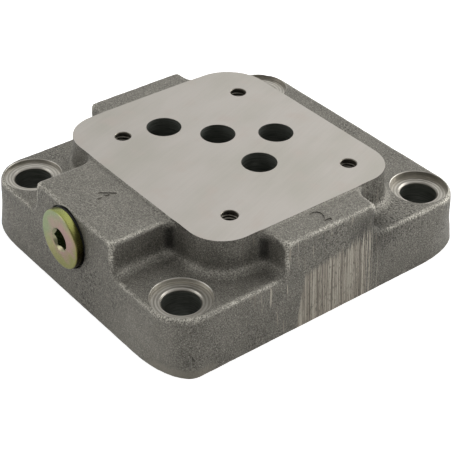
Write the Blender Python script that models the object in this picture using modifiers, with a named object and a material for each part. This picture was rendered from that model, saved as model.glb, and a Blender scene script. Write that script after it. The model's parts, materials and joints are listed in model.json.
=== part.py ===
"""Hydraulic valve subplate: an iron casting machined for one size 10 directional valve, with a screw plug and its seal.

Metres, +Z up. The origin is in the middle of the flat underside. X runs along the front face, which holds the plug,
and Y runs from the front face to the back. The valve sits on the ground pad on top, and bolts go down the four ears.
"""

import math
from dataclasses import dataclass

import bmesh
import bpy
from mathutils import Matrix, Vector

MM = 0.001

# Outer form of the casting, measured on the underside. The walls lean in by the draft of the mould.
UNDERSIDE_X = 102.3 * MM
UNDERSIDE_Y = 114.9 * MM
CORNER_RADIUS = 12.7 * MM
DRAFT = math.radians(3.5)
LEFT_FACE_UPPER_DRAFT = math.radians(1.0)
EAR_HEIGHT = 19.6 * MM
ARM_HEIGHT = 30.2 * MM
PAD_STEP = 0.5 * MM
PAD_HEIGHT = ARM_HEIGHT + PAD_STEP

# Low down, three corners are rounded further along one face than along the other, and get round by this height.
FRONT_RIGHT_CORNER_X = 20.0 * MM
FRONT_RIGHT_CORNER_Y = 8.5 * MM
BACK_RIGHT_CORNER_X = 8.0 * MM
BACK_RIGHT_CORNER_Y = 21.0 * MM
FRONT_LEFT_CORNER_X = 19.0 * MM
FRONT_LEFT_CORNER_Y = 7.0 * MM
CORNER_BLEND_DROP = 4.6 * MM
CORNER_BLEND_HEIGHT = EAR_HEIGHT - CORNER_BLEND_DROP
CORNER_BLEND_STEPS = 3

# The boss under the ground pad, at the pad's level.
BOSS_LEFT = 41.5 * MM
BOSS_RIGHT = 39.4 * MM
BOSS_FRONT = 34.8 * MM
BOSS_BACK = 36.7 * MM
BOSS_CORNER_RADIUS = 11.5 * MM
BOSS_FRONT_LEFT_CORNER_RADIUS = 12.6 * MM
BOSS_REAR_CORNER_RADIUS = 14.0 * MM
BOSS_SKIN = 0.05 * MM

# The three arms that run out from the boss over the drillings, each to one outer face.
FRONT_ARM_LEFT = 21.0 * MM
FRONT_ARM_RIGHT = 19.0 * MM
RIGHT_ARM_FRONT = 16.4 * MM
RIGHT_ARM_BACK = 17.9 * MM
LEFT_ARM_FRONT = 17.0 * MM
LEFT_ARM_BACK = 18.4 * MM

# Cast roundings. The foot of a wall turns through most of a right angle, then runs on straight into the ears' top.
HOLLOW_RADIUS = 4.6 * MM
FOOT_RADIUS = 3.0 * MM
FOOT_TURN = math.radians(76.0)
FOOT_RUN_OUT = 0.8 * MM
SHARPEST_HOLLOW = 0.4 * MM
RIM_RADIUS = 1.4 * MM
FOOT_SEGMENTS = 4
RIM_SEGMENTS = 3
CORNER_SEGMENTS = 9
HOLLOW_SEGMENTS = 4
CAST_EDGE_ANGLE = math.radians(40.0)
POCKET_OVERRUN = 1.5 * MM

# Ear bolts, M10 through counterbored ears, spaced about the origin.
BOLT_SPACING_X = 78.2 * MM
BOLT_SPACING_Y = 92.1 * MM
BOLT_BORE = 11.5 * MM
BOLT_BORE_CHAMFER = 0.5 * MM
SPOT_DIAMETER = 18.0 * MM
SPOT_DEPTH_FRONT = 1.5 * MM
SPOT_DEPTH_RIGHT = 2.1 * MM
SPOT_DEPTH_LEFT = 1.2 * MM
SPOT_DEPTH_BACK = 1.5 * MM

# The valve's standard hole pattern, about its own middle.
PATTERN_X = 1.3 * MM
PATTERN_Y = 2.35 * MM
SCREW_SPACING_X = 54.0 * MM
SCREW_SPACING_Y = 46.0 * MM
SCREW_TAP_BORE = 5.0 * MM
SCREW_COUNTERSINK = 0.4 * MM
SCREW_BORE_DEPTH = 16.0 * MM
PORT_BORE = 11.1 * MM
PRESSURE_Y = 16.7 * MM
SERVICE_X = 10.3 * MM
SERVICE_Y = 1.6 * MM
TANK_X = 23.8 * MM
TANK_Y = 9.5 * MM
PORT_BORE_FLOOR = 12.0 * MM

# Pipe ports in the underside, tapped for a half-inch parallel pipe thread.
PIPE_TAP_BORE = 19.0 * MM
PIPE_CHAMFER = 1.0 * MM
PIPE_DEPTH = 15.5 * MM
PRESSURE_PIPE_Y = 27.0 * MM
TANK_PIPE_X = 32.0 * MM
TANK_PIPE_Y = 4.0 * MM
SERVICE_PIPE_X = 33.5 * MM
SERVICE_PIPE_Y = 1.0 * MM
FRONT_PIPE_Y = 33.5 * MM

# The slanted drilling from the right pipe port up to the right service bore.
SLANT_BORE = 8.5 * MM
SLANT_FOOT_X = 36.0 * MM
SLANT_TOP_Z = 21.0 * MM

# The cross-drilling behind the screw plug.
PLUG_X = 3.8 * MM
PLUG_Z = 20.0 * MM
CROSS_BORE = 10.0 * MM
CROSS_BORE_END_Y = 6.0 * MM
RECESS_DIAMETER = 20.0 * MM
RECESS_SEAT_DEPTH = 1.5 * MM

# Drill points, how far a tapped bore goes on past the plug's tip, and a cutter past the face that it opens.
DRILL_POINT_ANGLE = math.radians(118.0)
TAP_RUN_OUT = 3.0 * MM
CUT_OVERRUN = 3.0 * MM

# Points nearer than this are one point, and faces flatter than this to each other are one face.
WELD_DISTANCE = 0.01 * MM
AXIS_WELD_DISTANCE = 0.001 * MM
FLAT_ANGLE = math.radians(0.5)

# The screw plug, a quarter-inch collar plug, along its own axis out of the seat.
PLUG_THREAD = 13.157 * MM
PLUG_THREAD_LENGTH = 11.5 * MM
PLUG_TIP_CHAMFER = 1.0 * MM
PLUG_NECK = 11.4 * MM
PLUG_NECK_LENGTH = 1.6 * MM
COLLAR_DIAMETER = 18.8 * MM
COLLAR_THICKNESS = 2.4 * MM
COLLAR_CHAMFER = 0.5 * MM
SOCKET_SIDES = 6
SOCKET_WIDTH = 6.0 * MM
SOCKET_DEPTH = 7.0 * MM
SOCKET_CHAMFER = 0.35 * MM
SEAL_DIAMETER = 18.4 * MM
SEAL_BORE = 13.9 * MM
SEAL_THICKNESS = 1.0 * MM
SEAL_EDGE = 0.2 * MM
SEAT_GAP = 0.3 * MM
THREAD_GAP = 0.3 * MM

# Facets round each kind of turned shape.
BORE_FACETS = 40
SMALL_FACETS = 24
COLLAR_FACETS = 56


@dataclass(frozen=True)
class Corner:
    """A corner of a plan outline: where its two straight sides would meet, how far before that point its rounding
    starts on the side that arrives, and how far after it the rounding ends on the side that leaves.
    """

    x: float
    y: float
    before: float = 0.0
    after: float = 0.0
    segments: int = 0


@dataclass(frozen=True)
class Ear:
    """One bolted ear: the side of the casting that it is on, and how deep its counterbore is."""

    name: str
    side_x: int
    side_y: int
    spot_depth: float


EARS = (
    Ear("front_right", 1, -1, SPOT_DEPTH_FRONT),
    Ear("back_right", 1, 1, SPOT_DEPTH_RIGHT),
    Ear("front_left", -1, -1, SPOT_DEPTH_LEFT),
    Ear("back_left", -1, 1, SPOT_DEPTH_BACK),
)


def clear_scene():
    """Removes what the scene holds."""
    for obj in list(bpy.data.objects):
        bpy.data.objects.remove(obj, do_unlink=True)


def new_collection(name, of_helpers=False):
    """A collection of the scene, either of parts or of the helper shapes that cut and join them."""
    collection = bpy.data.collections.new(name)
    collection.hide_render = of_helpers
    bpy.context.scene.collection.children.link(collection)
    return collection


def new_material(name, colour, metallic, roughness):
    """A plain surface for one part."""
    material = bpy.data.materials.new(name)
    material.use_nodes = True
    surface = material.node_tree.nodes["Principled BSDF"]
    surface.inputs["Base Color"].default_value = (*colour, 1.0)
    surface.inputs["Metallic"].default_value = metallic
    surface.inputs["Roughness"].default_value = roughness
    return material


def new_object(name, mesh, collection):
    """An object in a collection. A helper shape is only ever a wire."""
    obj = bpy.data.objects.new(name, mesh)
    collection.objects.link(obj)
    if collection.hide_render:
        obj.hide_render = True
        obj.display_type = "WIRE"
    return obj


def mesh_of(name, bm):
    """The bmesh as a mesh, with its faces turned outward."""
    bmesh.ops.recalc_face_normals(bm, faces=bm.faces)
    mesh = bpy.data.meshes.new(name)
    bm.to_mesh(mesh)
    bm.free()
    return mesh


def draft_at(drop):
    """How far a cast wall has moved outward this far below the level where it was measured."""
    return drop * math.tan(DRAFT)


def sides_of(corners, index):
    """The directions in which the outline comes to a corner and leaves it, and the lengths of the two sides."""
    here = Vector((corners[index].x, corners[index].y))
    before = Vector((corners[index - 1].x, corners[index - 1].y))
    after_corner = corners[(index + 1) % len(corners)]
    after = Vector((after_corner.x, after_corner.y))
    return (here - before).normalized(), (after - here).normalized(), (here - before).length, (after - here).length


def rounded(x, y, radius, segments=CORNER_SEGMENTS):
    """A corner that is rounded alike on both its sides."""
    return Corner(x, y, radius, radius, segments)


def grown(corners, distance):
    """The outline moved outward: outer corners get rounder by the distance, and hollow ones less round."""
    moved = []
    for index, corner in enumerate(corners):
        arriving, leaving, _, _ = sides_of(corners, index)
        outward = Vector((arriving.y, -arriving.x)) + Vector((leaving.y, -leaving.x))
        turn = 1.0 if arriving.cross(leaving) > 0.0 else -1.0
        place = Vector((corner.x, corner.y)) + outward * distance
        before = max(corner.before + turn * distance, SHARPEST_HOLLOW) if corner.segments else 0.0
        after = max(corner.after + turn * distance, SHARPEST_HOLLOW) if corner.segments else 0.0
        moved.append(Corner(place.x, place.y, before, after, corner.segments))
    return moved


def outline_points(corners, height):
    """The outline's points at one height. Roundings that would meet on a side share it."""
    points = []
    for index, corner in enumerate(corners):
        arriving, leaving, length_before, length_after = sides_of(corners, index)
        place = Vector((corner.x, corner.y))
        if not corner.segments:
            points.append(Vector((place.x, place.y, height)))
            continue
        wanted_before = corner.before + corners[index - 1].after
        wanted_after = corner.after + corners[(index + 1) % len(corners)].before
        room = min(1.0, length_before / wanted_before, length_after / wanted_after)
        start = arriving * corner.before * room
        end = leaving * corner.after * room
        for step in range(corner.segments + 1):
            turn = math.radians(90.0) * step / corner.segments
            point = place - start * (1 - math.sin(turn)) + end * (1 - math.cos(turn))
            points.append(Vector((point.x, point.y, height)))
    return points


def loft(name, sections):
    """A closed mesh through outlines that have the same number of points, from the lowest to the highest."""
    bm = bmesh.new()
    rings = [[bm.verts.new(point) for point in section] for section in sections]
    for lower, upper in zip(rings, rings[1:]):
        for index in range(len(lower)):
            after = (index + 1) % len(lower)
            bm.faces.new((lower[index], lower[after], upper[after], upper[index]))
    bm.faces.new(reversed(rings[0]))
    bm.faces.new(rings[-1])
    return mesh_of(name, bm)


def turned(name, profile, facets, collection):
    """A turned shape about Z. The profile is (radius, height) points down its outer side, from the axis to the axis."""
    bm = bmesh.new()
    points = [bm.verts.new((radius, 0.0, height)) for radius, height in profile]
    for upper, lower in zip(points, points[1:]):
        bm.edges.new((upper, lower))
    mesh = bpy.data.meshes.new(name)
    bm.to_mesh(mesh)
    bm.free()
    obj = new_object(name, mesh, collection)
    screw = obj.modifiers.new("turning", "SCREW")
    screw.axis = "Z"
    screw.steps = facets
    screw.render_steps = facets
    screw.use_merge_vertices = True
    screw.merge_threshold = AXIS_WELD_DISTANCE
    return obj


def drill(name, diameter, top, floor, facets, collection, chamfer=0.0):
    """A drill cutter about Z: open above the top face, chamfered there, with a drill point below its floor."""
    radius = diameter / 2
    point = radius / math.tan(DRILL_POINT_ANGLE / 2)
    mouth = radius + chamfer
    profile = [(0.0, top + CUT_OVERRUN), (mouth, top + CUT_OVERRUN)]
    if chamfer:
        profile += [(mouth, top), (radius, top - chamfer)]
    profile += [(radius, floor), (0.0, floor - point)]
    return turned(name, profile, facets, collection)


def boolean(obj, name, operation, operand):
    """Joins another object, or a whole collection of cutters, to this one or cuts it away."""
    modifier = obj.modifiers.new(name, "BOOLEAN")
    modifier.operation = operation
    modifier.solver = "EXACT"
    if isinstance(operand, bpy.types.Collection):
        modifier.operand_type = "COLLECTION"
        modifier.collection = operand
    else:
        modifier.object = operand


def settled_mesh(obj):
    """The object's mesh with its modifiers carried out."""
    graph = bpy.context.evaluated_depsgraph_get()
    return bpy.data.meshes.new_from_object(obj.evaluated_get(graph))


def shade(obj, material):
    """Gives a part its material, and smooth shading between its crisp edges."""
    obj.data.materials.clear()
    obj.data.materials.append(material)
    obj.data.shade_smooth()
    obj.data.set_sharp_from_angle(angle=CAST_EDGE_ANGLE)


def block_section(height):
    """The casting's outline at one height. Above the low corners, the left face stands more upright than the rest."""
    half_x = UNDERSIDE_X / 2
    half_y = UNDERSIDE_Y / 2
    blend = max(0.0, 1 - height / CORNER_BLEND_HEIGHT)
    low_share = blend * blend * (3 - 2 * blend)
    above_corners = max(0.0, height - CORNER_BLEND_HEIGHT)
    left_x = -half_x - draft_at(above_corners) + above_corners * math.tan(LEFT_FACE_UPPER_DRAFT)

    def corner(x, y, before, after):
        """One corner, between its shape on the underside and a round one."""
        round_share = 1 - low_share
        low_before = before * low_share + CORNER_RADIUS * round_share
        low_after = after * low_share + CORNER_RADIUS * round_share
        return Corner(x, y, low_before, low_after, CORNER_SEGMENTS)

    corners = [
        corner(left_x, -half_y, FRONT_LEFT_CORNER_Y, FRONT_LEFT_CORNER_X),
        corner(half_x, -half_y, FRONT_RIGHT_CORNER_X, FRONT_RIGHT_CORNER_Y),
        corner(half_x, half_y, BACK_RIGHT_CORNER_Y, BACK_RIGHT_CORNER_X),
        corner(left_x, half_y, CORNER_RADIUS, CORNER_RADIUS),
    ]
    return outline_points(grown(corners, -draft_at(height)), height)


def boss_corners():
    """The ground pad's outline."""
    return [
        rounded(-BOSS_LEFT, -BOSS_FRONT, BOSS_FRONT_LEFT_CORNER_RADIUS),
        rounded(BOSS_RIGHT, -BOSS_FRONT, BOSS_CORNER_RADIUS),
        rounded(BOSS_RIGHT, BOSS_BACK, BOSS_CORNER_RADIUS),
        rounded(-BOSS_LEFT, BOSS_BACK, BOSS_REAR_CORNER_RADIUS),
    ]


def upper_corners():
    """The outline of the boss and its three arms, which run out past the casting's outer faces."""
    reach_x = UNDERSIDE_X + CUT_OVERRUN
    reach_y = UNDERSIDE_Y + CUT_OVERRUN
    front_left, front_right, back_right, back_left = boss_corners()

    def hollow(x, y):
        """Where an arm leaves the boss."""
        return rounded(x, y, HOLLOW_RADIUS, HOLLOW_SEGMENTS)

    return [
        Corner(-FRONT_ARM_LEFT, -reach_y),
        Corner(FRONT_ARM_RIGHT, -reach_y),
        hollow(FRONT_ARM_RIGHT, -BOSS_FRONT),
        front_right,
        hollow(BOSS_RIGHT, -RIGHT_ARM_FRONT),
        Corner(reach_x, -RIGHT_ARM_FRONT),
        Corner(reach_x, RIGHT_ARM_BACK),
        hollow(BOSS_RIGHT, RIGHT_ARM_BACK),
        back_right,
        back_left,
        hollow(-BOSS_LEFT, LEFT_ARM_BACK),
        Corner(-reach_x, LEFT_ARM_BACK),
        Corner(-reach_x, -LEFT_ARM_FRONT),
        hollow(-BOSS_LEFT, -LEFT_ARM_FRONT),
        front_left,
        hollow(-FRONT_ARM_LEFT, -BOSS_FRONT),
    ]


def upper_sections():
    """The outlines of the boss and arms, from under the ears' top, up round the foot fillet and on up the walls."""

    def section(height, growth):
        """One outline, drafted, and grown further where the foot flares out."""
        return outline_points(grown(upper_corners(), draft_at(PAD_HEIGHT - height) + growth), height)

    sections = []
    for step in range(FOOT_SEGMENTS + 1):
        turn = FOOT_TURN * (1 - step / FOOT_SEGMENTS)
        height = EAR_HEIGHT + FOOT_RADIUS * (1 - math.sin(turn))
        growth = FOOT_RADIUS * (1 - math.cos(turn))
        if not step:
            drop = FOOT_RUN_OUT * math.cos(turn)
            sections.append(section(height - drop, growth + FOOT_RUN_OUT * math.sin(turn)))
        sections.append(section(height, growth))
    sections.append(section(ARM_HEIGHT + CUT_OVERRUN, 0.0))
    return sections


def rough_casting(cutters):
    """The drafted block with the corner pockets sunk beside the boss and arms, before its rims are rounded."""
    levels = [CORNER_BLEND_HEIGHT * step / CORNER_BLEND_STEPS for step in range(CORNER_BLEND_STEPS + 1)]
    levels.append(ARM_HEIGHT)
    block = loft("block", [block_section(height) for height in levels])
    casting = new_object("rough_casting", block, cutters)

    upper_form = new_object("upper_form", loft("upper_form", upper_sections()), cutters)

    bm = bmesh.new()
    bmesh.ops.create_cube(bm, size=1.0)
    reach = max(UNDERSIDE_X, UNDERSIDE_Y) + CUT_OVERRUN
    depth = ARM_HEIGHT + POCKET_OVERRUN - EAR_HEIGHT
    bmesh.ops.scale(bm, vec=(reach, reach, depth), verts=bm.verts)
    bmesh.ops.translate(bm, vec=(0.0, 0.0, EAR_HEIGHT + depth / 2), verts=bm.verts)
    pockets = new_object("pockets", mesh_of("pockets", bm), cutters)
    boolean(pockets, "leave_the_upper_form", "DIFFERENCE", upper_form)
    boolean(casting, "sink_the_pockets", "DIFFERENCE", pockets)
    return casting


def is_rim(edge):
    """Whether a cast edge is rounded: a sharp outer one, anywhere but round the machined underside."""
    on_underside = all(vertex.co.z < RIM_RADIUS for vertex in edge.verts)
    return edge.is_convex and not on_underside and edge.calc_face_angle(0.0) > CAST_EDGE_ANGLE


def rounded_casting(collection, cutters):
    """The casting as it leaves the mould: drafted, with rounded rims and filleted feet."""
    mesh = settled_mesh(rough_casting(cutters))
    bm = bmesh.new()
    bm.from_mesh(mesh)
    bmesh.ops.remove_doubles(bm, verts=bm.verts, dist=WELD_DISTANCE)
    bmesh.ops.dissolve_limit(bm, angle_limit=FLAT_ANGLE, verts=bm.verts, edges=bm.edges)
    weights = bm.edges.layers.float.new("bevel_weight_edge")
    for edge in bm.edges:
        edge[weights] = float(is_rim(edge))
    bm.to_mesh(mesh)
    bm.free()
    mesh.name = "subplate_body"
    body = new_object("subplate_body", mesh, collection)
    bevel = body.modifiers.new("cast_rims", "BEVEL")
    bevel.limit_method = "WEIGHT"
    bevel.width = RIM_RADIUS
    bevel.segments = RIM_SEGMENTS
    bevel.use_clamp_overlap = False
    return body


def ground_pad(cutters):
    """The boss up to its ground top, a little above the arms. Its walls run down into the foot fillet."""
    levels = (EAR_HEIGHT + FOOT_RADIUS / 2, PAD_HEIGHT)
    sections = [outline_points(grown(boss_corners(), draft_at(PAD_HEIGHT - z) + BOSS_SKIN), z) for z in levels]
    return new_object("ground_pad", loft("ground_pad", sections), cutters)


def ear_cutters(cutters):
    """The counterbored bolt holes down through the ears."""
    for ear in EARS:
        floor = EAR_HEIGHT - ear.spot_depth
        radius = BOLT_BORE / 2
        profile = (
            (0.0, EAR_HEIGHT + CUT_OVERRUN),
            (SPOT_DIAMETER / 2, EAR_HEIGHT + CUT_OVERRUN),
            (SPOT_DIAMETER / 2, floor),
            (radius + BOLT_BORE_CHAMFER, floor),
            (radius, floor - BOLT_BORE_CHAMFER),
            (radius, BOLT_BORE_CHAMFER),
            (radius + BOLT_BORE_CHAMFER, 0.0),
            (radius + BOLT_BORE_CHAMFER, -CUT_OVERRUN),
            (0.0, -CUT_OVERRUN),
        )
        cutter = turned(f"bolt_hole_{ear.name}", profile, BORE_FACETS, cutters)
        cutter.location = (ear.side_x * BOLT_SPACING_X / 2, ear.side_y * BOLT_SPACING_Y / 2, 0.0)


def valve_face_cutters(cutters):
    """The four oil bores and four tapped screw holes of the valve's pattern."""
    bores = (
        ("pressure_bore", 0.0, PRESSURE_Y),
        ("left_service_bore", -SERVICE_X, SERVICE_Y),
        ("right_service_bore", SERVICE_X, SERVICE_Y),
        ("tank_bore", -TANK_X, -TANK_Y),
    )
    for name, x, y in bores:
        bore = drill(name, PORT_BORE, PAD_HEIGHT, PORT_BORE_FLOOR, BORE_FACETS, cutters)
        bore.location = (PATTERN_X + x, PATTERN_Y + y, 0.0)
    floor = PAD_HEIGHT - SCREW_BORE_DEPTH
    for side_x in (-1, 1):
        for side_y in (-1, 1):
            name = f"screw_hole_{'right' if side_x > 0 else 'left'}_{'back' if side_y > 0 else 'front'}"
            hole = drill(name, SCREW_TAP_BORE, PAD_HEIGHT, floor, SMALL_FACETS, cutters, SCREW_COUNTERSINK)
            hole.location = (
                PATTERN_X + side_x * SCREW_SPACING_X / 2,
                PATTERN_Y + side_y * SCREW_SPACING_Y / 2,
                0.0,
            )


def pipe_places():
    """Where each pipe port opens in the underside."""
    return {
        "pressure_pipe": (PATTERN_X, PRESSURE_PIPE_Y),
        "tank_pipe": (-TANK_PIPE_X, -TANK_PIPE_Y),
        "right_service_pipe": (SERVICE_PIPE_X, SERVICE_PIPE_Y),
        "front_service_pipe": (-PLUG_X, -FRONT_PIPE_Y),
    }


def underside_cutters(cutters):
    """The pipe ports, drilled upward from the underside, and the slanted drilling through the right one."""
    for name, (x, y) in pipe_places().items():
        port = drill(name, PIPE_TAP_BORE, 0.0, -PIPE_DEPTH, BORE_FACETS, cutters, PIPE_CHAMFER)
        port.rotation_euler = (math.radians(180.0), 0.0, 0.0)
        port.location = (x, y, 0.0)
    foot = Vector((SLANT_FOOT_X, SERVICE_PIPE_Y, 0.0))
    top = Vector((PATTERN_X + SERVICE_X, PATTERN_Y + SERVICE_Y, SLANT_TOP_Z))
    length = (top - foot).length
    slant = drill("slanted_drilling", SLANT_BORE, 0.0, -length, SMALL_FACETS, cutters)
    slant.rotation_mode = "QUATERNION"
    slant.rotation_quaternion = (foot - top).to_track_quat("Z", "Y")
    slant.location = foot


def seat_y():
    """The plug's seat, the flat floor of its recess, as a distance in front of the origin."""
    face = UNDERSIDE_Y / 2 - draft_at(PLUG_Z)
    return face - RECESS_SEAT_DEPTH


def plug_placement():
    """The plug's own frame: its axis is Z, which points out of the front face, and its seat is at zero."""
    turn = Matrix.Rotation(math.radians(90.0), 4, "X")
    return Matrix.Translation((-PLUG_X, -seat_y(), PLUG_Z)) @ turn


def cross_drilling_cutter(cutters):
    """The plug's recess, the tapped bore behind it, and the drilling that runs on to the left service bore."""
    bore = PLUG_THREAD / 2 + THREAD_GAP
    tap_floor = -(PLUG_THREAD_LENGTH + PLUG_NECK_LENGTH + TAP_RUN_OUT)
    length = seat_y() + CROSS_BORE_END_Y
    point = CROSS_BORE / 2 / math.tan(DRILL_POINT_ANGLE / 2)
    mouth = RECESS_SEAT_DEPTH + COLLAR_THICKNESS + CUT_OVERRUN
    profile = (
        (0.0, mouth),
        (RECESS_DIAMETER / 2, mouth),
        (RECESS_DIAMETER / 2, 0.0),
        (bore, 0.0),
        (bore, tap_floor),
        (CROSS_BORE / 2, tap_floor - (bore - CROSS_BORE / 2)),
        (CROSS_BORE / 2, -length),
        (0.0, -(length + point)),
    )
    cutter = turned("cross_drilling", profile, COLLAR_FACETS, cutters)
    cutter.matrix_world = plug_placement()


def build_body(collection, cutters, material):
    """The casting, machined."""
    cast_forms = new_collection("cast_forms", of_helpers=True)
    body = rounded_casting(collection, cast_forms)
    boolean(body, "ground_pad", "UNION", ground_pad(cast_forms))
    ear_cutters(cutters)
    valve_face_cutters(cutters)
    underside_cutters(cutters)
    cross_drilling_cutter(cutters)
    boolean(body, "machining", "DIFFERENCE", cutters)
    shade(body, material)


def build_plug(collection, socket_cutters, material):
    """The collar plug: collar, neck and threaded shank, with a hexagon socket in its head."""
    underside = SEAT_GAP + SEAL_THICKNESS + SEAT_GAP
    front = underside + COLLAR_THICKNESS
    shank = PLUG_THREAD / 2
    neck_end = underside - PLUG_NECK_LENGTH
    tip = neck_end - PLUG_THREAD_LENGTH
    profile = (
        (0.0, front),
        (COLLAR_DIAMETER / 2 - COLLAR_CHAMFER, front),
        (COLLAR_DIAMETER / 2, front - COLLAR_CHAMFER),
        (COLLAR_DIAMETER / 2, underside + SEAL_EDGE),
        (COLLAR_DIAMETER / 2 - SEAL_EDGE, underside),
        (PLUG_NECK / 2, underside),
        (PLUG_NECK / 2, neck_end),
        (shank, neck_end - (shank - PLUG_NECK / 2)),
        (shank, tip + PLUG_TIP_CHAMFER),
        (shank - PLUG_TIP_CHAMFER, tip),
        (0.0, tip),
    )
    plug = turned("screw_plug", profile, COLLAR_FACETS, collection)
    plug.matrix_world = plug_placement()

    across_corners = SOCKET_WIDTH / math.cos(math.radians(180.0) / SOCKET_SIDES)
    bm = bmesh.new()
    depth = SOCKET_DEPTH + CUT_OVERRUN
    radius = across_corners / 2
    bmesh.ops.create_cone(
        bm, cap_ends=True, segments=SOCKET_SIDES, radius1=radius, radius2=radius, depth=depth
    )
    bmesh.ops.translate(bm, vec=(0.0, 0.0, front - SOCKET_DEPTH + depth / 2), verts=bm.verts)
    socket = new_object("hexagon_socket", mesh_of("hexagon_socket", bm), socket_cutters)
    socket.matrix_world = plug_placement()
    boolean(plug, "hexagon_socket", "DIFFERENCE", socket)

    mouth = ((0.0, front + CUT_OVERRUN), (radius + SOCKET_CHAMFER + CUT_OVERRUN, front + CUT_OVERRUN))
    cone = (*mouth, (0.0, front - radius - SOCKET_CHAMFER))
    lead_in = turned("socket_lead_in", cone, SMALL_FACETS, socket_cutters)
    lead_in.matrix_world = plug_placement()
    boolean(plug, "socket_lead_in", "DIFFERENCE", lead_in)
    shade(plug, material)


def build_seal(collection, material):
    """The sealing ring between the collar and the seat."""
    low = SEAT_GAP
    high = SEAT_GAP + SEAL_THICKNESS
    outer = SEAL_DIAMETER / 2
    inner = SEAL_BORE / 2
    profile = (
        (inner + SEAL_EDGE, high),
        (outer - SEAL_EDGE, high),
        (outer, high - SEAL_EDGE),
        (outer, low + SEAL_EDGE),
        (outer - SEAL_EDGE, low),
        (inner + SEAL_EDGE, low),
        (inner, low + SEAL_EDGE),
        (inner, high - SEAL_EDGE),
        (inner + SEAL_EDGE, high),
    )
    ring = turned("plug_seal_ring", profile, COLLAR_FACETS, collection)
    ring.matrix_world = plug_placement()
    shade(ring, material)


def main():
    """Builds the subplate from its named sizes."""
    clear_scene()
    subplate = new_collection("valve_subplate")
    cutters = new_collection("cutters", of_helpers=True)
    socket_cutters = new_collection("socket_cutters", of_helpers=True)
    cast_iron = new_material("cast_iron", (0.16, 0.15, 0.14), 0.6, 0.6)
    yellow_zinc = new_material("yellow_zinc", (0.45, 0.40, 0.16), 1.0, 0.35)
    black_rubber = new_material("black_rubber", (0.02, 0.02, 0.02), 0.0, 0.6)
    build_body(subplate, cutters, cast_iron)
    build_plug(subplate, socket_cutters, yellow_zinc)
    build_seal(subplate, black_rubber)


main()
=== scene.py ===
"""Looks of the hydraulic valve subplate: a sand-cast iron body, ground and bored, with a yellow zinc plug.

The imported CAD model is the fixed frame. The body's mesh is copied, its holes are filled, a cast skin is grown
over it, and then it is machined again with round, threaded and turned holes. Sizes are in metres, in the
part's frame, and the patterns of the finishes are given in millimetres.
"""

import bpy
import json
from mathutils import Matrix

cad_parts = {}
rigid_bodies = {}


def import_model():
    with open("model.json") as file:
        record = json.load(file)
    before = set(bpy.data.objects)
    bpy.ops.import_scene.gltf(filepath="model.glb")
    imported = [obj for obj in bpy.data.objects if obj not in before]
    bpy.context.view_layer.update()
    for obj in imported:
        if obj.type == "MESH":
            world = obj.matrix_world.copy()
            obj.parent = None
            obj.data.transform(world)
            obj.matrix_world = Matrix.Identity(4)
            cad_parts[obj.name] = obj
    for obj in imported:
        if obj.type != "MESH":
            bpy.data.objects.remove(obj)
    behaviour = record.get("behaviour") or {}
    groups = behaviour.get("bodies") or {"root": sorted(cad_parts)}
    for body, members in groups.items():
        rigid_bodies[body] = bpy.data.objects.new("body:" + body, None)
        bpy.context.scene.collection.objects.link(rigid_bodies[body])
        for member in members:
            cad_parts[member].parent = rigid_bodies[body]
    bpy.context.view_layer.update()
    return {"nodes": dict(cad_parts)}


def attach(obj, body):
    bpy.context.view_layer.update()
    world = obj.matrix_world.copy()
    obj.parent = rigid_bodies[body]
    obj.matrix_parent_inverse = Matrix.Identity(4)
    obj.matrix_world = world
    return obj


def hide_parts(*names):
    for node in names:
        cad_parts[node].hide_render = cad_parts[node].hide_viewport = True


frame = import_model()

import json
import logging
import math
from dataclasses import dataclass, field
from enum import Enum, IntEnum

import bmesh
import bpy
import numpy as np
from mathutils import Matrix, Vector, noise
from mathutils.kdtree import KDTree

LOG = logging.getLogger("subplate")
MM = 0.001
SMOOTH_ANGLE = math.radians(34.0)
# Where a tool goes: as it is, cutting up from below, or cutting into the front face.
IN_PLACE = Matrix.Identity(4)
DOWNWARD = Matrix.Rotation(math.radians(180.0), 4, "X")
FORWARD = Matrix.Rotation(math.radians(90.0), 4, "X")
# The middle of the screw plug's seat.
PLUG_PLACE = (-3.8 * MM, -54.727 * MM, 20.0 * MM)
# How deep a drill's point is, as a share of its radius.
DRILL_POINT = 0.6
GRINDING_SKEW = math.radians(-19.0)
# A radius below this is on the axis.
ON_AXIS = 1e-7
# What a vertex keeps of its value in each step of a blur, and what it takes from its neighbours.
BLUR = (0.4, 0.6)
# The middle of a noise pattern's values.
MEAN = 0.5

Spot = tuple[float, float, float]
Stops = tuple[tuple[float, float | str], ...]
Socket = bpy.types.NodeSocket
Input = Socket | float | str | Spot | list | None


class Surface(Enum):
    """The finishes that the cutting tools and the mould leave on the body."""

    CAST = "sand_cast_iron"
    GROUND = "ground_iron"
    TURNED = "turned_iron"
    BORED = "bored_iron"
    TAPPED = "tapped_iron"
    MILLED = "milled_iron"


class Operation(Enum):
    """What a tool shape does to the body."""

    CUT = "DIFFERENCE"
    JOIN = "UNION"


class Facets(IntEnum):
    """How many flats go round a turned shape."""

    FINEST = 112
    FINE = 96
    MIDDLING = 72
    COARSE = 64
    COARSEST = 48
    HEXAGON = 6


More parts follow.
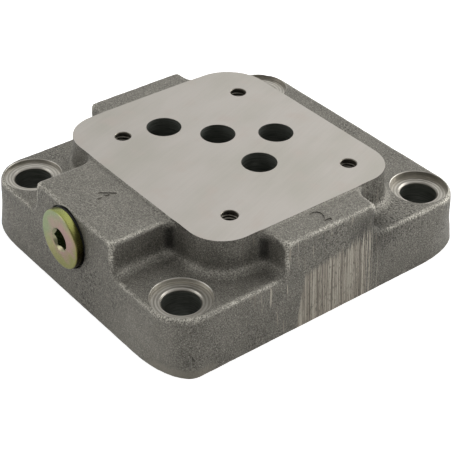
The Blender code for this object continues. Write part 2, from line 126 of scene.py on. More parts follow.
class Node(Enum):
    """The nodes that the finishes and the studio are drawn with: each one's type and fixed settings."""

    PLUS = ("Math", {"operation": "ADD"})
    MINUS = ("Math", {"operation": "SUBTRACT"})
    TIMES = ("Math", {"operation": "MULTIPLY"})
    TIMES_PLUS = ("Math", {"operation": "MULTIPLY_ADD"})
    LARGER = ("Math", {"operation": "MAXIMUM"})
    SINE = ("Math", {"operation": "SINE"})
    ARM = ("VectorMath", {"operation": "SUBTRACT"})
    SCALED = ("VectorMath", {"operation": "MULTIPLY"})
    UNSIGNED = ("VectorMath", {"operation": "ABSOLUTE"})
    SIGNS = ("VectorMath", {"operation": "SIGN"})
    SQUARE_TO = ("VectorMath", {"operation": "CROSS_PRODUCT"})
    ALONG = ("VectorMath", {"operation": "DOT_PRODUCT"})
    LENGTH = ("VectorMath", {"operation": "LENGTH"})
    DISTANCE = ("VectorMath", {"operation": "DISTANCE"})
    AXES = ("SeparateXYZ", {})
    TURN = ("VectorRotate", {"rotation_type": "Z_AXIS"})
    SLOPE = ("MapRange", {})
    RAMP = ("ValToRGB", {})
    MIX = ("Mix", {"data_type": "RGBA"})
    TINT = ("Mix", {"data_type": "RGBA", "blend_type": "MULTIPLY"})
    CHOICE = ("Mix", {"data_type": "FLOAT"})
    NOISE = ("TexNoise", {})
    BUMP = ("Bump", {})
    PLACE = ("TexCoord", {})
    GEOMETRY = ("NewGeometry", {})
    ATTRIBUTE = ("Attribute", {})
    RAY = ("LightPath", {})


def linear(hex_colour: str) -> tuple[float, float, float, float]:
    """Turns an sRGB colour into the linear one that the shaders work in.

    Args:
        hex_colour: Six hexadecimal digits, with or without a leading hash.

    Returns:
        Linear red, green, blue and an alpha of one.
    """
    digits = hex_colour.lstrip("#")
    channels = []
    for start in (0, 2, 4):
        value = int(digits[start:start + 2], 16) / 255
        channels.append(value / 12.92 if value <= 0.04045 else ((value + 0.055) / 1.055) ** 2.4)
    return (*channels, 1.0)


def per_mm(size: float) -> float:
    """The scale, in cells a metre, at which a pattern's cells are this many millimetres wide."""
    return 1.0 / (size * MM)


def add_node(tree: bpy.types.NodeTree, node: Node, *inputs: Input, output: str = "", stops: Stops = (),
             **settings: Input) -> Socket:
    """Adds one node with its settings and links.

    Args:
        tree: The node tree that takes the node.
        node: Which node it is.
        inputs: What its inputs take, in the order of those in use: sockets, numbers, vectors or hex colours.
        output: The name of the output that is wanted, where it isn't the first one in use.
        stops: For a ramp, its positions, each with a hex colour or grey value.
        settings: Properties, and further inputs, by their names.

    Returns:
        The output.
    """
    kind, fixed = node.value
    made = tree.nodes.new(f"ShaderNode{kind}")
    for name, value in fixed.items():
        setattr(made, name, value)
    given = list(zip([socket for socket in made.inputs if socket.enabled], inputs))
    for name, value in settings.items():
        if hasattr(made, name):
            setattr(made, name, value)
        else:
            given.append((made.inputs[name], value))
    for socket, value in given:
        if isinstance(value, Socket):
            tree.links.new(value, socket)
        elif value is not None:
            socket.default_value = linear(value) if isinstance(value, str) else value
    for number, (position, shade) in enumerate(stops):
        elements = made.color_ramp.elements
        element = elements[number] if number < len(elements) else elements.new(position)
        element.position = position
        element.color = linear(shade) if isinstance(shade, str) else (shade, shade, shade, 1.0)
    return made.outputs[output] if output else next(socket for socket in made.outputs if socket.enabled)


@dataclass(frozen=True)
class Pattern:
    """A noise pattern of a real size, and the shades that its values are turned into.

    The size is the width of its cells in millimetres, and the detail says how many finer layers lie on it.
    Its cells are stretched along X, Y and Z, and turned about Z.
    """

    size: float
    detail: float
    stops: Stops = ()
    stretch: Spot = (1.0, 1.0, 1.0)
    turn: float = 0.0


class Material:
    """One finish, built on a Principled shader. Its patterns are laid out in the frame of the part."""

    def __init__(self, name: str, metallic: float, roughness: float) -> None:
        """Starts the material with its uniform values set on the shader's own sockets.

        Args:
            name: What the material is.
            metallic: One for bare clean metal, less where oil, rust or dust covers some of it.
            roughness: How matt the surface is where no pattern changes it.
        """
        self.data = bpy.data.materials.new(name)
        self.data.use_nodes = True
        self.tree = self.data.node_tree
        self.shader = self.tree.nodes["Principled BSDF"]
        self.shader.inputs["Metallic"].default_value = metallic
        self.shader.inputs["Roughness"].default_value = roughness
        self.place = self.add(Node.PLACE, output="Object")

    def add(self, node: Node, *inputs: Input, **settings: Input) -> Socket:
        """Adds a node to this material, as add_node does."""
        return add_node(self.tree, node, *inputs, **settings)

    def grain(self, pattern: Pattern) -> Socket:
        """The values of a pattern, from 0 to 1.

        Args:
            pattern: The noise pattern.

        Returns:
            Its value at each place.
        """
        turned = self.add(Node.TURN, self.place, Angle=pattern.turn)
        scaled = self.add(Node.SCALED, turned, [1.0 / value for value in pattern.stretch])
        return self.add(Node.NOISE, scaled, per_mm(pattern.size), pattern.detail)

    def shades(self, pattern: Pattern) -> Socket:
        """The shades of a pattern."""
        return self.add(Node.RAMP, self.grain(pattern), stops=pattern.stops)

    def along(self, axis: str) -> Socket:
        """The place along X, Y or Z."""
        return self.add(Node.AXES, self.place, output=axis)

    def between(self, value: Socket, low: float, high: float) -> Socket:
        """A slope from zero at the low mark to one at the high one, in millimetres."""
        return self.add(Node.SLOPE, value, low * MM, high * MM)

    def facing(self, axis: str, low: float, high: float) -> Socket:
        """How far the face looks along an axis: a slope from zero at the low share to one at the high one."""
        share = self.add(Node.AXES, self.add(Node.GEOMETRY, output="Normal"), output=axis)
        return self.add(Node.SLOPE, share, low, high)

    def waves(self, reach: Socket, gap: float) -> Socket:
        """Ripples, from 0 to 1, that stand a gap of some millimetres apart."""
        wave = self.add(Node.SINE, self.add(Node.TIMES, reach, math.tau * per_mm(gap)))
        return self.add(Node.SLOPE, wave, -1.0)

    def relief(self, height: Socket, depth: float, under: Socket | None = None) -> Socket:
        """Fine relief as a bump.

        Args:
            height: The pattern, from 0 to 1.
            depth: Its depth in millimetres.
            under: The normal of the coarser relief below it.

        Returns:
            The bumped normal.
        """
        return self.add(Node.BUMP, Distance=depth * MM, Height=height, Normal=under)

    def finish(self, **sockets: Socket) -> bpy.types.Material:
        """Feeds the shader. The sockets are named colour, roughness, normal, tangent and glow.

        Args:
            sockets: What each of them is fed.

        Returns:
            The material.
        """
        inputs = {"colour": "Base Color", "roughness": "Roughness", "normal": "Normal", "tangent": "Tangent",
                  "glow": "Emission Strength"}
        for name, socket in sockets.items():
            self.tree.links.new(socket, self.shader.inputs[inputs[name]])
        return self.data


@dataclass(frozen=True)
class DressedPatch:
    """A patch of upright strokes, each of its own length, where the right face was dressed with a grinder.

    The grit leaves lines about 0.1 mm wide, which are drawn 0.18 mm wide. Sand pits that it missed stay dark.
    Marks are in millimetres along the face and up it, and the patch thins out toward its back.
    """

    line: Pattern = Pattern(0.18, 0.0, ((0.34, "#766F65"), (0.6, "#B8B2A5")), (110.0, 1.0, 240.0))
    pass_over: Pattern = Pattern(0.7, 1.0, (), (60.0, 1.0, 9.0))
    pass_share: float = 0.35
    missed: Pattern = Pattern(0.5, 1.5, ((0.32, 0.6), (0.43, 0.0)), (1.0, 1.0, 3.0))
    pit: str = "#5E5A51"
    run: Pattern = Pattern(0.6, 1.0, (), (90.0, 1.0, 120.0))
    run_from: tuple[float, float] = (-5.0, 14.0)
    run_length: tuple[float, float] = (2.0, 20.0)
    thin_from: tuple[float, float] = (7.0, 21.0)
    thinness: tuple[float, float] = (0.15, 0.68)
    crispness: float = 14.0
    left_lean: float = 0.2
    left_edge: tuple[float, float] = (-13.6, -13.0)
    top_slant: float = -0.12
    top_edge: tuple[float, float] = (19.4, 17.4)
    stray: Pattern = Pattern(0.8, 1.0, (), (30.0, 1.0, 14.0))
    stray_from: float = 0.64
    stray_crispness: float = 12.0
    stray_front: tuple[float, float] = (-38.0, -28.0)
    stray_back: tuple[float, float] = (30.0, 12.0)
    sideways: tuple[float, float] = (0.8, 0.93)

    def strokes(self, made: Material) -> Socket:
        """The colour of the stroked iron.

        Args:
            made: The material that the pattern is for.

        Returns:
            Its colour.
        """
        fresh = made.add(Node.MINUS, made.grain(self.pass_over), MEAN)
        cut = made.add(Node.PLUS, made.grain(self.line), made.add(Node.TIMES, fresh, self.pass_share))
        lines = made.add(Node.RAMP, cut, stops=self.line.stops)
        return made.add(Node.MIX, made.shades(self.missed), lines, self.pit)

    def share(self, made: Material) -> Socket:
        """How much of the stroked iron shows, from 0 to 1.

        Args:
            made: The material that the pattern is for.

        Returns:
            The share.
        """
        back, up = made.along("Y"), made.along("Z")
        runs = made.grain(self.run)
        marks = [mark * MM for mark in self.run_from + self.run_length]
        shift = made.add(Node.TIMES, made.add(Node.MINUS, MEAN, runs), made.add(Node.SLOPE, back, *marks))
        left = made.add(Node.MINUS, back, made.add(Node.TIMES, up, self.left_lean))
        slant = made.add(Node.TIMES, back, self.top_slant)
        top = made.add(Node.PLUS, made.add(Node.PLUS, up, shift), slant)
        thinned = made.add(Node.SLOPE, back, *[mark * MM for mark in self.thin_from], *self.thinness)
        dense = made.add(Node.TIMES, made.add(Node.MINUS, runs, thinned), self.crispness, use_clamp=True)
        patch = made.add(Node.TIMES, made.between(left, *self.left_edge), made.between(top, *self.top_edge))
        patch = made.add(Node.TIMES, patch, dense)
        stray = made.add(Node.MINUS, made.grain(self.stray), self.stray_from)
        stray = made.add(Node.TIMES, stray, self.stray_crispness, use_clamp=True)
        front, rear = made.between(back, *self.stray_front), made.between(back, *self.stray_back)
        stray = made.add(Node.TIMES, stray, made.add(Node.TIMES, front, rear))
        both = made.add(Node.LARGER, patch, stray)
        return made.add(Node.TIMES, both, made.facing("X", *self.sideways), use_clamp=True)


@dataclass(frozen=True)
class SandCastIron:
    """Grey iron as it leaves a sand mould, blasted clean: rough to the touch, with no sheen of its own.

    Sand grains of 0.3 to 0.5 mm leave pits of that size, which give the eye its salt-and-pepper speckle, and
    pale specks among them are painted glints. Here and there the mould was loose and the skin is scabby. Rims
    are worn to bright metal, and the walls' rounded feet take a painted highlight in the same tone. Upright
    hollow corners are darkened with painted shade, and the washed-out corner is darkened in patches. The upward
    tops of the arms, and the foot of the front face beside the front corner, are painted paler as painted
    light. Marks are in millimetres along the part, and shares of facing are from -1 to 1.
    """

    speckle: Pattern = Pattern(0.36, 2.0, ((0.3, "#575550"), (0.5, "#7A776F"), (0.7, "#9C9990")))
    mottle: Pattern = Pattern(7.0, 3.0, ((0.3, 0.9), (0.7, 1.08)))
    # Pale specks of this pattern are painted glints; the same pale tone also marks real chips, and the painted
    # light on the arms' tops and beside the front corner.
    glint_specks: Pattern = Pattern(0.42, 1.0, ((0.67, 0.0), (0.75, 0.75)))
    glint_and_chip_tone: str = "#C4C0B5"
    loose_mould: Pattern = Pattern(15.0, 2.0, ((0.5, 0.0), (0.66, 1.0)))
    washed: Spot = (43.0 * MM, 27.0 * MM, 20.0 * MM)
    washed_reach: tuple[float, float] = (17.0, 9.0)
    scab: Pattern = Pattern(0.75, 1.5)
    pitted: Stops = ((0.36, 0.75), (0.46, 0.0))
    pit: str = "#403E39"
    chipped: Stops = ((0.62, 0.0), (0.7, 0.3))
    # Painted light: the upward-facing tops of the arms are painted a little paler.
    paler_top_facing: tuple[float, float] = (0.6, 0.9)
    paler_top_height: tuple[float, float] = (24.0, 25.0)
    paler_top_share: float = 0.08
    # Painted shade: the hollow attribute darkens upright hollow corners toward this tone, and patches of the
    # washed-out corner too.
    hollow_shade_tone: str = "#1B1A17"
    nicked: Pattern = Pattern(0.42, 2.0, ((0.46, 0.06), (0.54, 1.0)))
    worn_off: Pattern = Pattern(8.0, 2.0, ((0.34, 0.5), (0.56, 1.0)))
    # Pale tone of rims worn to bright metal, also laid on the walls' rounded feet as a painted highlight.
    bare: str = "#DAD6CA"
    patch: DressedPatch = DressedPatch()
    ragged: Pattern = Pattern(1.6, 2.0)
    ragged_height: float = 2.4 * MM
    rubbed_corner: tuple[float, float] = (92.5, 96.5)
    rubbed_height: tuple[float, float] = (4.4, 2.9)
    rubbed_share: float = 0.75
    rubbed_and_lit: str = "#8E897E"
    # Painted highlight on the front face beside the front corner, paler toward its foot.
    corner_light_facing: tuple[float, float] = (-0.7, -0.93)
    corner_light_side: tuple[float, float] = (12.0, 28.0)
    corner_light_height: tuple[float, float] = (26.0, 8.0)
    corner_light_share: float = 0.2
    sand: Pattern = Pattern(1.5, 2.0)
    sand_depth: float = 0.16
    speckle_depth: float = 0.14
    metallic: float = 0.75
    roughness: float = 0.56

    def build(self) -> bpy.types.Material:
        """Makes the material, one layer over another.

        Returns:
            The material.
        """
        made = Material(Surface.CAST.value, self.metallic, self.roughness)
        fine = made.grain(self.speckle)
        scabs = made.grain(self.scab)
        loose = self.loose_share(made)
        # Layers: pale specks as painted glints, scabs and chips, painted light on the tops, painted shade in
        # hollows, worn rims with a painted highlight on the feet, grinder strokes, a rubbed edge, and painted
        # light beside the front corner.
        layers = (
            (made.shades(self.glint_specks), self.glint_and_chip_tone),
            (made.add(Node.TIMES, loose, made.add(Node.RAMP, scabs, stops=self.pitted)), self.pit),
            (made.add(Node.TIMES, loose, made.add(Node.RAMP, scabs, stops=self.chipped)), self.glint_and_chip_tone),
            (self.paler_tops(made), self.glint_and_chip_tone),
            # Painted shade in upright hollow corners, and dark patches across the washed-out corner.
            (made.add(Node.ATTRIBUTE, attribute_name="hollow", output="Fac"), self.hollow_shade_tone),
            (self.worn_rims_and_lit_feet(made), self.bare),
            (self.patch.share(made), self.patch.strokes(made)),
            (self.rubbed_edge(made), self.rubbed_and_lit),
            (self.painted_corner_light(made), self.glint_and_chip_tone),
        )
        speckled = made.add(Node.RAMP, fine, stops=self.speckle.stops)
        colour = made.add(Node.TINT, 1.0, speckled, made.shades(self.mottle))
        for share, shade in layers:
            colour = made.add(Node.MIX, share, colour, shade)
        rough = made.add(Node.PLUS, made.grain(self.sand), made.add(Node.TIMES, loose, scabs))
        pits = made.relief(rough, self.sand_depth)
        return made.finish(colour=colour, normal=made.relief(fine, self.speckle_depth, pits))

    def loose_share(self, made: Material) -> Socket:
        """Where the mould was loose: in patches, and round the washed-out corner."""
        away = made.add(Node.DISTANCE, made.place, self.washed)
        return made.add(Node.LARGER, made.shades(self.loose_mould), made.between(away, *self.washed_reach))

    def paler_tops(self, made: Material) -> Socket:
        """Painted light: the upward tops of the arms, painted a little paler.

        Args:
            made: The material that the pattern is for.

        Returns:
            How much of it shows, from 0 to 1.
        """
        high = made.between(made.along("Z"), *self.paler_top_height)
        tops = made.add(Node.TIMES, made.facing("Z", *self.paler_top_facing), high)
        return made.add(Node.TIMES, tops, self.paler_top_share)

    def worn_rims_and_lit_feet(self, made: Material) -> Socket:
        """The rims, worn bare between nicks, and the walls' rounded feet with a painted highlight, which share
        the rim attribute.

        Args:
            made: The material that the pattern is for.

        Returns:
            How much of it shows, from 0 to 1.
        """
        rims = made.add(Node.ATTRIBUTE, attribute_name="rim", output="Fac")
        nicked = made.add(Node.TIMES, rims, made.shades(self.nicked))
        return made.add(Node.TIMES, nicked, made.shades(self.worn_off), use_clamp=True)

    def rubbed_edge(self, made: Material) -> Socket:
        """The bottom edge of the front corner, rubbed bare.

        Args:
            made: The material that the pattern is for.

        Returns:
            How much of it shows, from 0 to 1.
        """
        corner = made.add(Node.MINUS, made.along("X"), made.along("Y"))
        ragged = made.add(Node.TIMES, made.grain(self.ragged), self.ragged_height)
        height = made.add(Node.PLUS, made.along("Z"), ragged)
        strip = made.add(Node.TIMES, made.between(corner, *self.rubbed_corner),
                         made.between(height, *self.rubbed_height))
        return made.add(Node.TIMES, strip, self.rubbed_share)

    def painted_corner_light(self, made: Material) -> Socket:
        """Painted light: the foot of the front face beside the front corner, painted paler.

        Args:
            made: The material that the pattern is for.

        Returns:
            How much of it shows, from 0 to 1.
        """
        side = made.between(made.along("X"), *self.corner_light_side)
        corner_light = made.add(Node.TIMES, made.facing("Y", *self.corner_light_facing), side)
        corner_light = made.add(Node.TIMES, corner_light, made.between(made.along("Z"), *self.corner_light_height))
        return made.add(Node.TIMES, corner_light, self.corner_light_share)


@dataclass(frozen=True)
class GroundIron:
    """Grey iron ground flat on a surface grinder: pale, with an even silky sheen.

    The wheel leaves parallel lines 0.01 to 0.05 mm apart, a little askew to the part. They are far too fine
    for the render, so they are drawn about 0.6 mm apart and faint. Light stains of oil lie on them.
    """

    line: Pattern = Pattern(0.6, 2.0, ((0.3, 0.965), (0.7, 1.02)), (1.0, 26.0, 1.0), GRINDING_SKEW)
    line_sheen: Stops = ((0.3, 0.4), (0.7, 0.45))
    line_depth: float = 0.004
    stain: Pattern = Pattern(12.0, 2.0, ((0.4, 0.0), (0.7, 1.0)), (1.0, 2.2, 1.0), GRINDING_SKEW)
    spots: Pattern = Pattern(7.0, 1.0, ((0.58, 0.0), (0.74, 0.7)))
    plain: str = "#BCB7B0"
    stained: str = "#B4B0A7"
    rusty: str = "#BAB2AA"
    metallic: float = 0.9
    roughness: float = 0.42

    def build(self) -> bpy.types.Material:
        """Makes the material.

        Returns:
            The material.
        """
        made = Material(Surface.GROUND.value, self.metallic, self.roughness)
        lines = made.grain(self.line)
        colour = made.add(Node.MIX, made.shades(self.stain), self.plain, self.stained)
        colour = made.add(Node.MIX, made.shades(self.spots), colour, self.rusty)
        colour = made.add(Node.TINT, 1.0, colour, made.add(Node.RAMP, lines, stops=self.line.stops))
        sheen = made.add(Node.RAMP, lines, stops=self.line_sheen)
        return made.finish(colour=colour, roughness=sheen, normal=made.relief(lines, self.line_depth))


@dataclass(frozen=True)
class TurnedIron:
    """Grey iron cut by a turning or counterboring tool: bright, and banded by the rings of the tool's feed.

    The tool turns about each ear's hole. Its rings are 0.1 to 0.2 mm apart in life, too fine to show, so they
    are drawn 1 mm apart, and they stretch each reflection into a fan. The coarsest are also in the mesh. The
    front ear's face is darkened with painted shade, and the wall above it is painted bright as a painted
    highlight.
    """

    bands: Stops = ((0.1, "#9D9990"), (0.8, "#C2BEB5"))
    patchy: Pattern = Pattern(2.4, 2.0, ((0.35, 0.55), (0.6, 1.0)))
    ear: Spot = (39.1 * MM, 46.05 * MM, 0.0)
    ring_gap: float = 1.0
    ring_depth: float = 0.015
    fan: float = 0.6
    forward: tuple[float, float] = (30.0, 70.0)
    face_up: tuple[float, float] = (0.8, 0.98)
    # Painted shade on the front ear's face, and a painted highlight on the wall above it.
    front_shade_share: float = 0.33
    front_shade_tone: str = "#55524B"
    wall_up: tuple[float, float] = (0.2, 0.6)
    wall_share: float = 0.7
    rubbed_and_lit: str = "#F0ECE2"
    metallic: float = 0.9
    roughness: float = 0.37

    def build(self) -> bpy.types.Material:
        """Makes the material. The place is folded into one quarter, so one centre serves all four ears.

        Returns:
            The material.
        """
        made = Material(Surface.TURNED.value, self.metallic, self.roughness)
        made.shader.inputs["Anisotropic"].default_value = self.fan
        arm = made.add(Node.ARM, made.add(Node.UNSIGNED, made.place), self.ear)
        flat = made.add(Node.SCALED, arm, (1.0, 1.0, 0.0))
        unfolded = made.add(Node.SCALED, flat, made.add(Node.SIGNS, made.place))
        around = made.add(Node.SQUARE_TO, (0.0, 0.0, 1.0), unfolded)
        rings = made.waves(made.add(Node.LENGTH, flat), self.ring_gap)
        banded = made.add(Node.TIMES, rings, made.shades(self.patchy))
        colour = made.add(Node.RAMP, banded, stops=self.bands)
        corner = made.add(Node.MINUS, made.along("X"), made.along("Y"))
        front = made.between(corner, *self.forward)
        # Painted shade darkens the front ear's face, and a painted highlight brightens the wall above it.
        front_shade = made.add(Node.TIMES, front, made.facing("Z", *self.face_up))
        wall = made.add(Node.TIMES, front, made.add(Node.MINUS, 1.0, made.facing("Z", *self.wall_up)))
        colour = made.add(Node.MIX, made.add(Node.TIMES, front_shade, self.front_shade_share), colour, self.front_shade_tone)
        colour = made.add(Node.MIX, made.add(Node.TIMES, wall, self.wall_share), colour, self.rubbed_and_lit)
        return made.finish(colour=colour, normal=made.relief(rings, self.ring_depth), tangent=around)


@dataclass(frozen=True)
class BoredIron:
    """The wall of a drilled hole in grey iron: dark with oil and graphite, ringed by the drill's fine lines.

    The lines are about 0.1 mm apart, too fine to show, so they are drawn 0.35 mm apart.
    """

    name: Surface = Surface.BORED
    oily: str = "#60635C"
    bare: str = "#82847E"
    metallic: float = 0.4
    roughness: float = 0.45
    line: Pattern = Pattern(0.35, 1.0, (), (14.0, 14.0, 1.0))
    line_depth: float = 0.01

    def build(self) -> bpy.types.Material:
        """Makes the material.

        Returns:
            The material.
        """
        made = Material(self.name.value, self.metallic, self.roughness)
        lines = made.grain(self.line)
        colour = made.add(Node.RAMP, lines, stops=((0.35, self.oily), (0.7, self.bare)))
        return made.finish(colour=colour, normal=made.relief(lines, self.line_depth))


@dataclass(frozen=True)
class MilledIron:
    """Grey iron faced by a wide milling cutter: matt silver, crossed by the cutter's shallow arcs.

    The cutter is 160 mm wide and feeds 0.3 mm a tooth. The arcs that it leaves are too fine to show, so they
    are drawn 1.2 mm apart.
    """

    light: str = "#ABA69D"
    dark: str = "#98948B"
    cutter: Spot = (0.0, 95.0 * MM, 0.0)
    feed: float = 1.2
    depth: float = 0.01
    wear: Pattern = Pattern(6.0, 2.0, ((0.35, 0.4), (0.65, 1.0)))
    metallic: float = 0.9
    roughness: float = 0.45

    def build(self) -> bpy.types.Material:
        """Makes the material.

        Returns:
            The material.
        """
        made = Material(Surface.MILLED.value, self.metallic, self.roughness)
        arcs = made.waves(made.add(Node.DISTANCE, made.place, self.cutter), self.feed)
        worn = made.add(Node.TIMES, arcs, made.shades(self.wear))
        colour = made.add(Node.MIX, worn, self.dark, self.light)
        return made.finish(colour=colour, normal=made.relief(worn, self.depth))


@dataclass(frozen=True)
class YellowZinc:
    """Steel plated with zinc and passivated yellow: a thin clear film that turns pink, green and gold.

    The film's tints lie in soft clouds a few millimetres wide: rose beside the socket, grey-green above and
    olive below. It is thin and pale green inside the socket. Turning marks on the head show through it. The
    collar's side carries painted light and shade: pale high on the left and dark olive-brown low on the right.
    Marks are in millimetres from the middle of the head.
    """

    tints: Stops = ((0.2, "#8E8E52"), (0.5, "#A29D66"), (0.75, "#8B9870"))
    rosiness: Stops = ((0.25, 0.95), (0.48, 0.35), (0.62, 0.0))
    rose: str = "#A88983"
    # Painted light and shade on the collar's side: dark olive-brown low on the right, pale high on the left.
    rim: Stops = ((0.15, "#3B341A"), (0.55, "#8E8E52"), (0.9, "#969C5C"))
    thin: str = "#93A07E"
    middle: Spot = (-3.8 * MM, -58.7 * MM, 20.0 * MM)
    rosy: Spot = (-2.2 * MM, -58.7 * MM, 22.0 * MM)
    rosy_reach: tuple[float, float] = (0.0, 14.0)
    tint_and_light_slant: Spot = (-0.66, 0.0, 0.75)
    head: tuple[float, float] = (-9.0, 9.0)
    outward: tuple[float, float] = (-0.5, -0.9)
    socket: tuple[float, float] = (5.2, 4.8)
    cloud: Pattern = Pattern(4.0, 2.0)
    cloud_height: float = 9.0 * MM
    cloud_lift: float = 0.5
    marks: Pattern = Pattern(0.5, 2.0, ((0.3, 0.25), (0.7, 0.36)))
    mark_depth: float = 0.008
    metallic: float = 1.0
    roughness: float = 0.3

    def build(self) -> bpy.types.Material:
        """Makes the material. On the face the film is thickest where the plug hung lowest; on the collar's side
        the same slant is painted light and shade.

        Returns:
            The material.
        """
        made = Material("yellow_zinc", self.metallic, self.roughness)
        clouds = made.add(Node.TIMES, made.add(Node.MINUS, made.grain(self.cloud), MEAN), self.cloud_height)
        away = made.add(Node.PLUS, made.add(Node.DISTANCE, made.place, self.rosy), clouds)
        rosy = made.add(Node.RAMP, made.between(away, *self.rosy_reach), stops=self.rosiness)
        arm = made.add(Node.ARM, made.place, self.middle)
        level = made.add(Node.ALONG, arm, self.tint_and_light_slant)
        cloudy = made.add(Node.PLUS, level, made.add(Node.TIMES, clouds, self.cloud_lift))
        under = made.add(Node.RAMP, made.between(cloudy, *self.head), stops=self.tints)
        # Painted light and shade: the collar's side runs from dark low on the right to pale high on the left.
        side = made.add(Node.RAMP, made.between(level, *self.head), stops=self.rim)
        reach = made.add(Node.LENGTH, made.add(Node.SCALED, arm, (1.0, 0.0, 1.0)))
        side = made.add(Node.MIX, made.between(reach, *self.socket), side, self.thin)
        face = made.add(Node.MIX, rosy, under, self.rose)
        colour = made.add(Node.MIX, made.facing("Y", *self.outward), side, face)
        fine = made.grain(self.marks)
        sheen = made.add(Node.RAMP, fine, stops=self.marks.stops)
        return made.finish(colour=colour, roughness=sheen, normal=made.relief(fine, self.mark_depth))


@dataclass(frozen=True)
class BlackRubber:
    """Nitrile rubber, moulded: near black, with a dull sheen and a light bloom."""

    bloom: Pattern = Pattern(1.2, 2.0, ((0.4, "#141412"), (0.8, "#24231F")))
    bloom_depth: float = 0.02
    roughness: float = 0.55

    def build(self) -> bpy.types.Material:
        """Makes the material.

        Returns:
            The material.
        """
        made = Material("nitrile_rubber", 0.0, self.roughness)
        bloom = made.grain(self.bloom)
        colour = made.add(Node.RAMP, bloom, stops=self.bloom.stops)
        return made.finish(colour=colour, normal=made.relief(bloom, self.bloom_depth))


@dataclass(frozen=True)
class WhitePaper:
    """A wide paper sweep, matt and without gloss. It glows white to the camera and weakly in reflections."""

    white: str = "#F4F4F4"
    roughness: float = 0.9
    glow: float = 0.8
    mirrored: float = 0.35

    def build(self) -> bpy.types.Material:
        """Makes the material.

        Returns:
            The material.
        """
        made = Material("white_paper", 0.0, self.roughness)
        for name, value in (("Base Color", linear(self.white)), ("Specular IOR Level", 0.0),
                            ("Emission Color", (1.0, 1.0, 1.0, 1.0))):
            made.shader.inputs[name].default_value = value
        rays = made.add(Node.RAY).node.outputs
        mirrored = made.add(Node.TIMES, rays["Is Glossy Ray"], self.mirrored)
        direct = made.add(Node.LARGER, rays["Is Camera Ray"], rays["Is Transmission Ray"])
        glow = made.add(Node.TIMES_PLUS, direct, self.glow, mirrored)
        return made.finish(glow=glow)


def settled(obj: bpy.types.Object) -> bpy.types.Mesh:
    """The object's mesh with its modifiers carried out.

    Args:
        obj: The object, which stays as it is.

    Returns:
        The new mesh.
    """
    graph = bpy.context.evaluated_depsgraph_get()
    graph.update()
    return bpy.data.meshes.new_from_object(obj.evaluated_get(graph))


def new_object(name: str, mesh: bpy.types.Mesh) -> bpy.types.Object:
    """An object in the scene.

    Args:
        name: The object's name.
        mesh: Its mesh or curve.

    Returns:
        The object.
    """
    obj = bpy.data.objects.new(name, mesh)
    bpy.context.scene.collection.objects.link(obj)
    return obj


def close_mesh(bm: bmesh.types.BMesh, name: str, placement: Matrix = IN_PLACE,
               material: bpy.types.Material | None = None) -> bpy.types.Mesh:
    """Makes a mesh of a closed shape.

    Args:
        bm: The shape, which is used up.
        name: The mesh's name.
        placement: Where the shape goes in the part's frame.
        material: What its faces are made of.

    Returns:
        The mesh, its faces turned outward.
    """
    bmesh.ops.recalc_face_normals(bm, faces=bm.faces)
    bmesh.ops.transform(bm, matrix=placement, verts=bm.verts)
    mesh = bpy.data.meshes.new(name)
    bm.to_mesh(mesh)
    bm.free()
    if material:
        mesh.materials.append(material)
    return mesh


def vectors(mesh: bpy.types.Mesh, name: str) -> np.ndarray:
    """The places, called co, or the normals, called normal, of a mesh's vertices, one to a row.

    Args:
        mesh: The mesh.
        name: Which of the two.

    Returns:
        The vectors, as doubles.
    """
    values = np.empty(len(mesh.vertices) * 3, np.float32)
    mesh.vertices.foreach_get(name, values)
    return values.reshape(-1, 3).astype(float)


def move_to(mesh: bpy.types.Mesh, places: np.ndarray) -> None:
    """Moves a mesh's vertices."""
    mesh.vertices.foreach_set("co", places.astype(np.float32).ravel())
    mesh.update()


def rising(values: np.ndarray, start: float, width: float) -> np.ndarray:
    """A slope from zero at the start to one, a width further on."""
    return np.clip((values - start) / width, 0.0, 1.0)


def rod(top: float, radius: float, floor: float, point: float = 0.0) -> list[tuple[float, float]]:
    """The profile of a rod or drill about Z: from its top to its floor, and the height of the point below."""
    return [(0.0, top), (radius, top), (radius, floor), (0.0, floor - point)]


def lathe(bm: bmesh.types.BMesh, profile: list[tuple[float, float]], facets: int) -> None:
    """Turns a profile about Z.

    Args:
        bm: Takes the shape.
        profile: Its (radius, height) points, from the axis to the axis, or a closed loop off the axis.
        facets: How many flats go round it.
    """
    rings = []
    for radius, height in profile:
        if radius < ON_AXIS:
            rings.append([bm.verts.new((0.0, 0.0, height))] * facets)
            continue
        ring = []
        for step in range(facets):
            turn = math.tau * step / facets
            ring.append(bm.verts.new((radius * math.cos(turn), radius * math.sin(turn), height)))
        rings.append(ring)
    pairs = list(zip(rings, rings[1:]))
    if profile[0][0] > ON_AXIS:
        pairs.append((rings[-1], rings[0]))
    for upper, lower in pairs:
        for step in range(facets):
            after = (step + 1) % facets
            corners = [upper[step], upper[after], lower[after], lower[step]]
            bm.faces.new(list(dict.fromkeys(corners)))


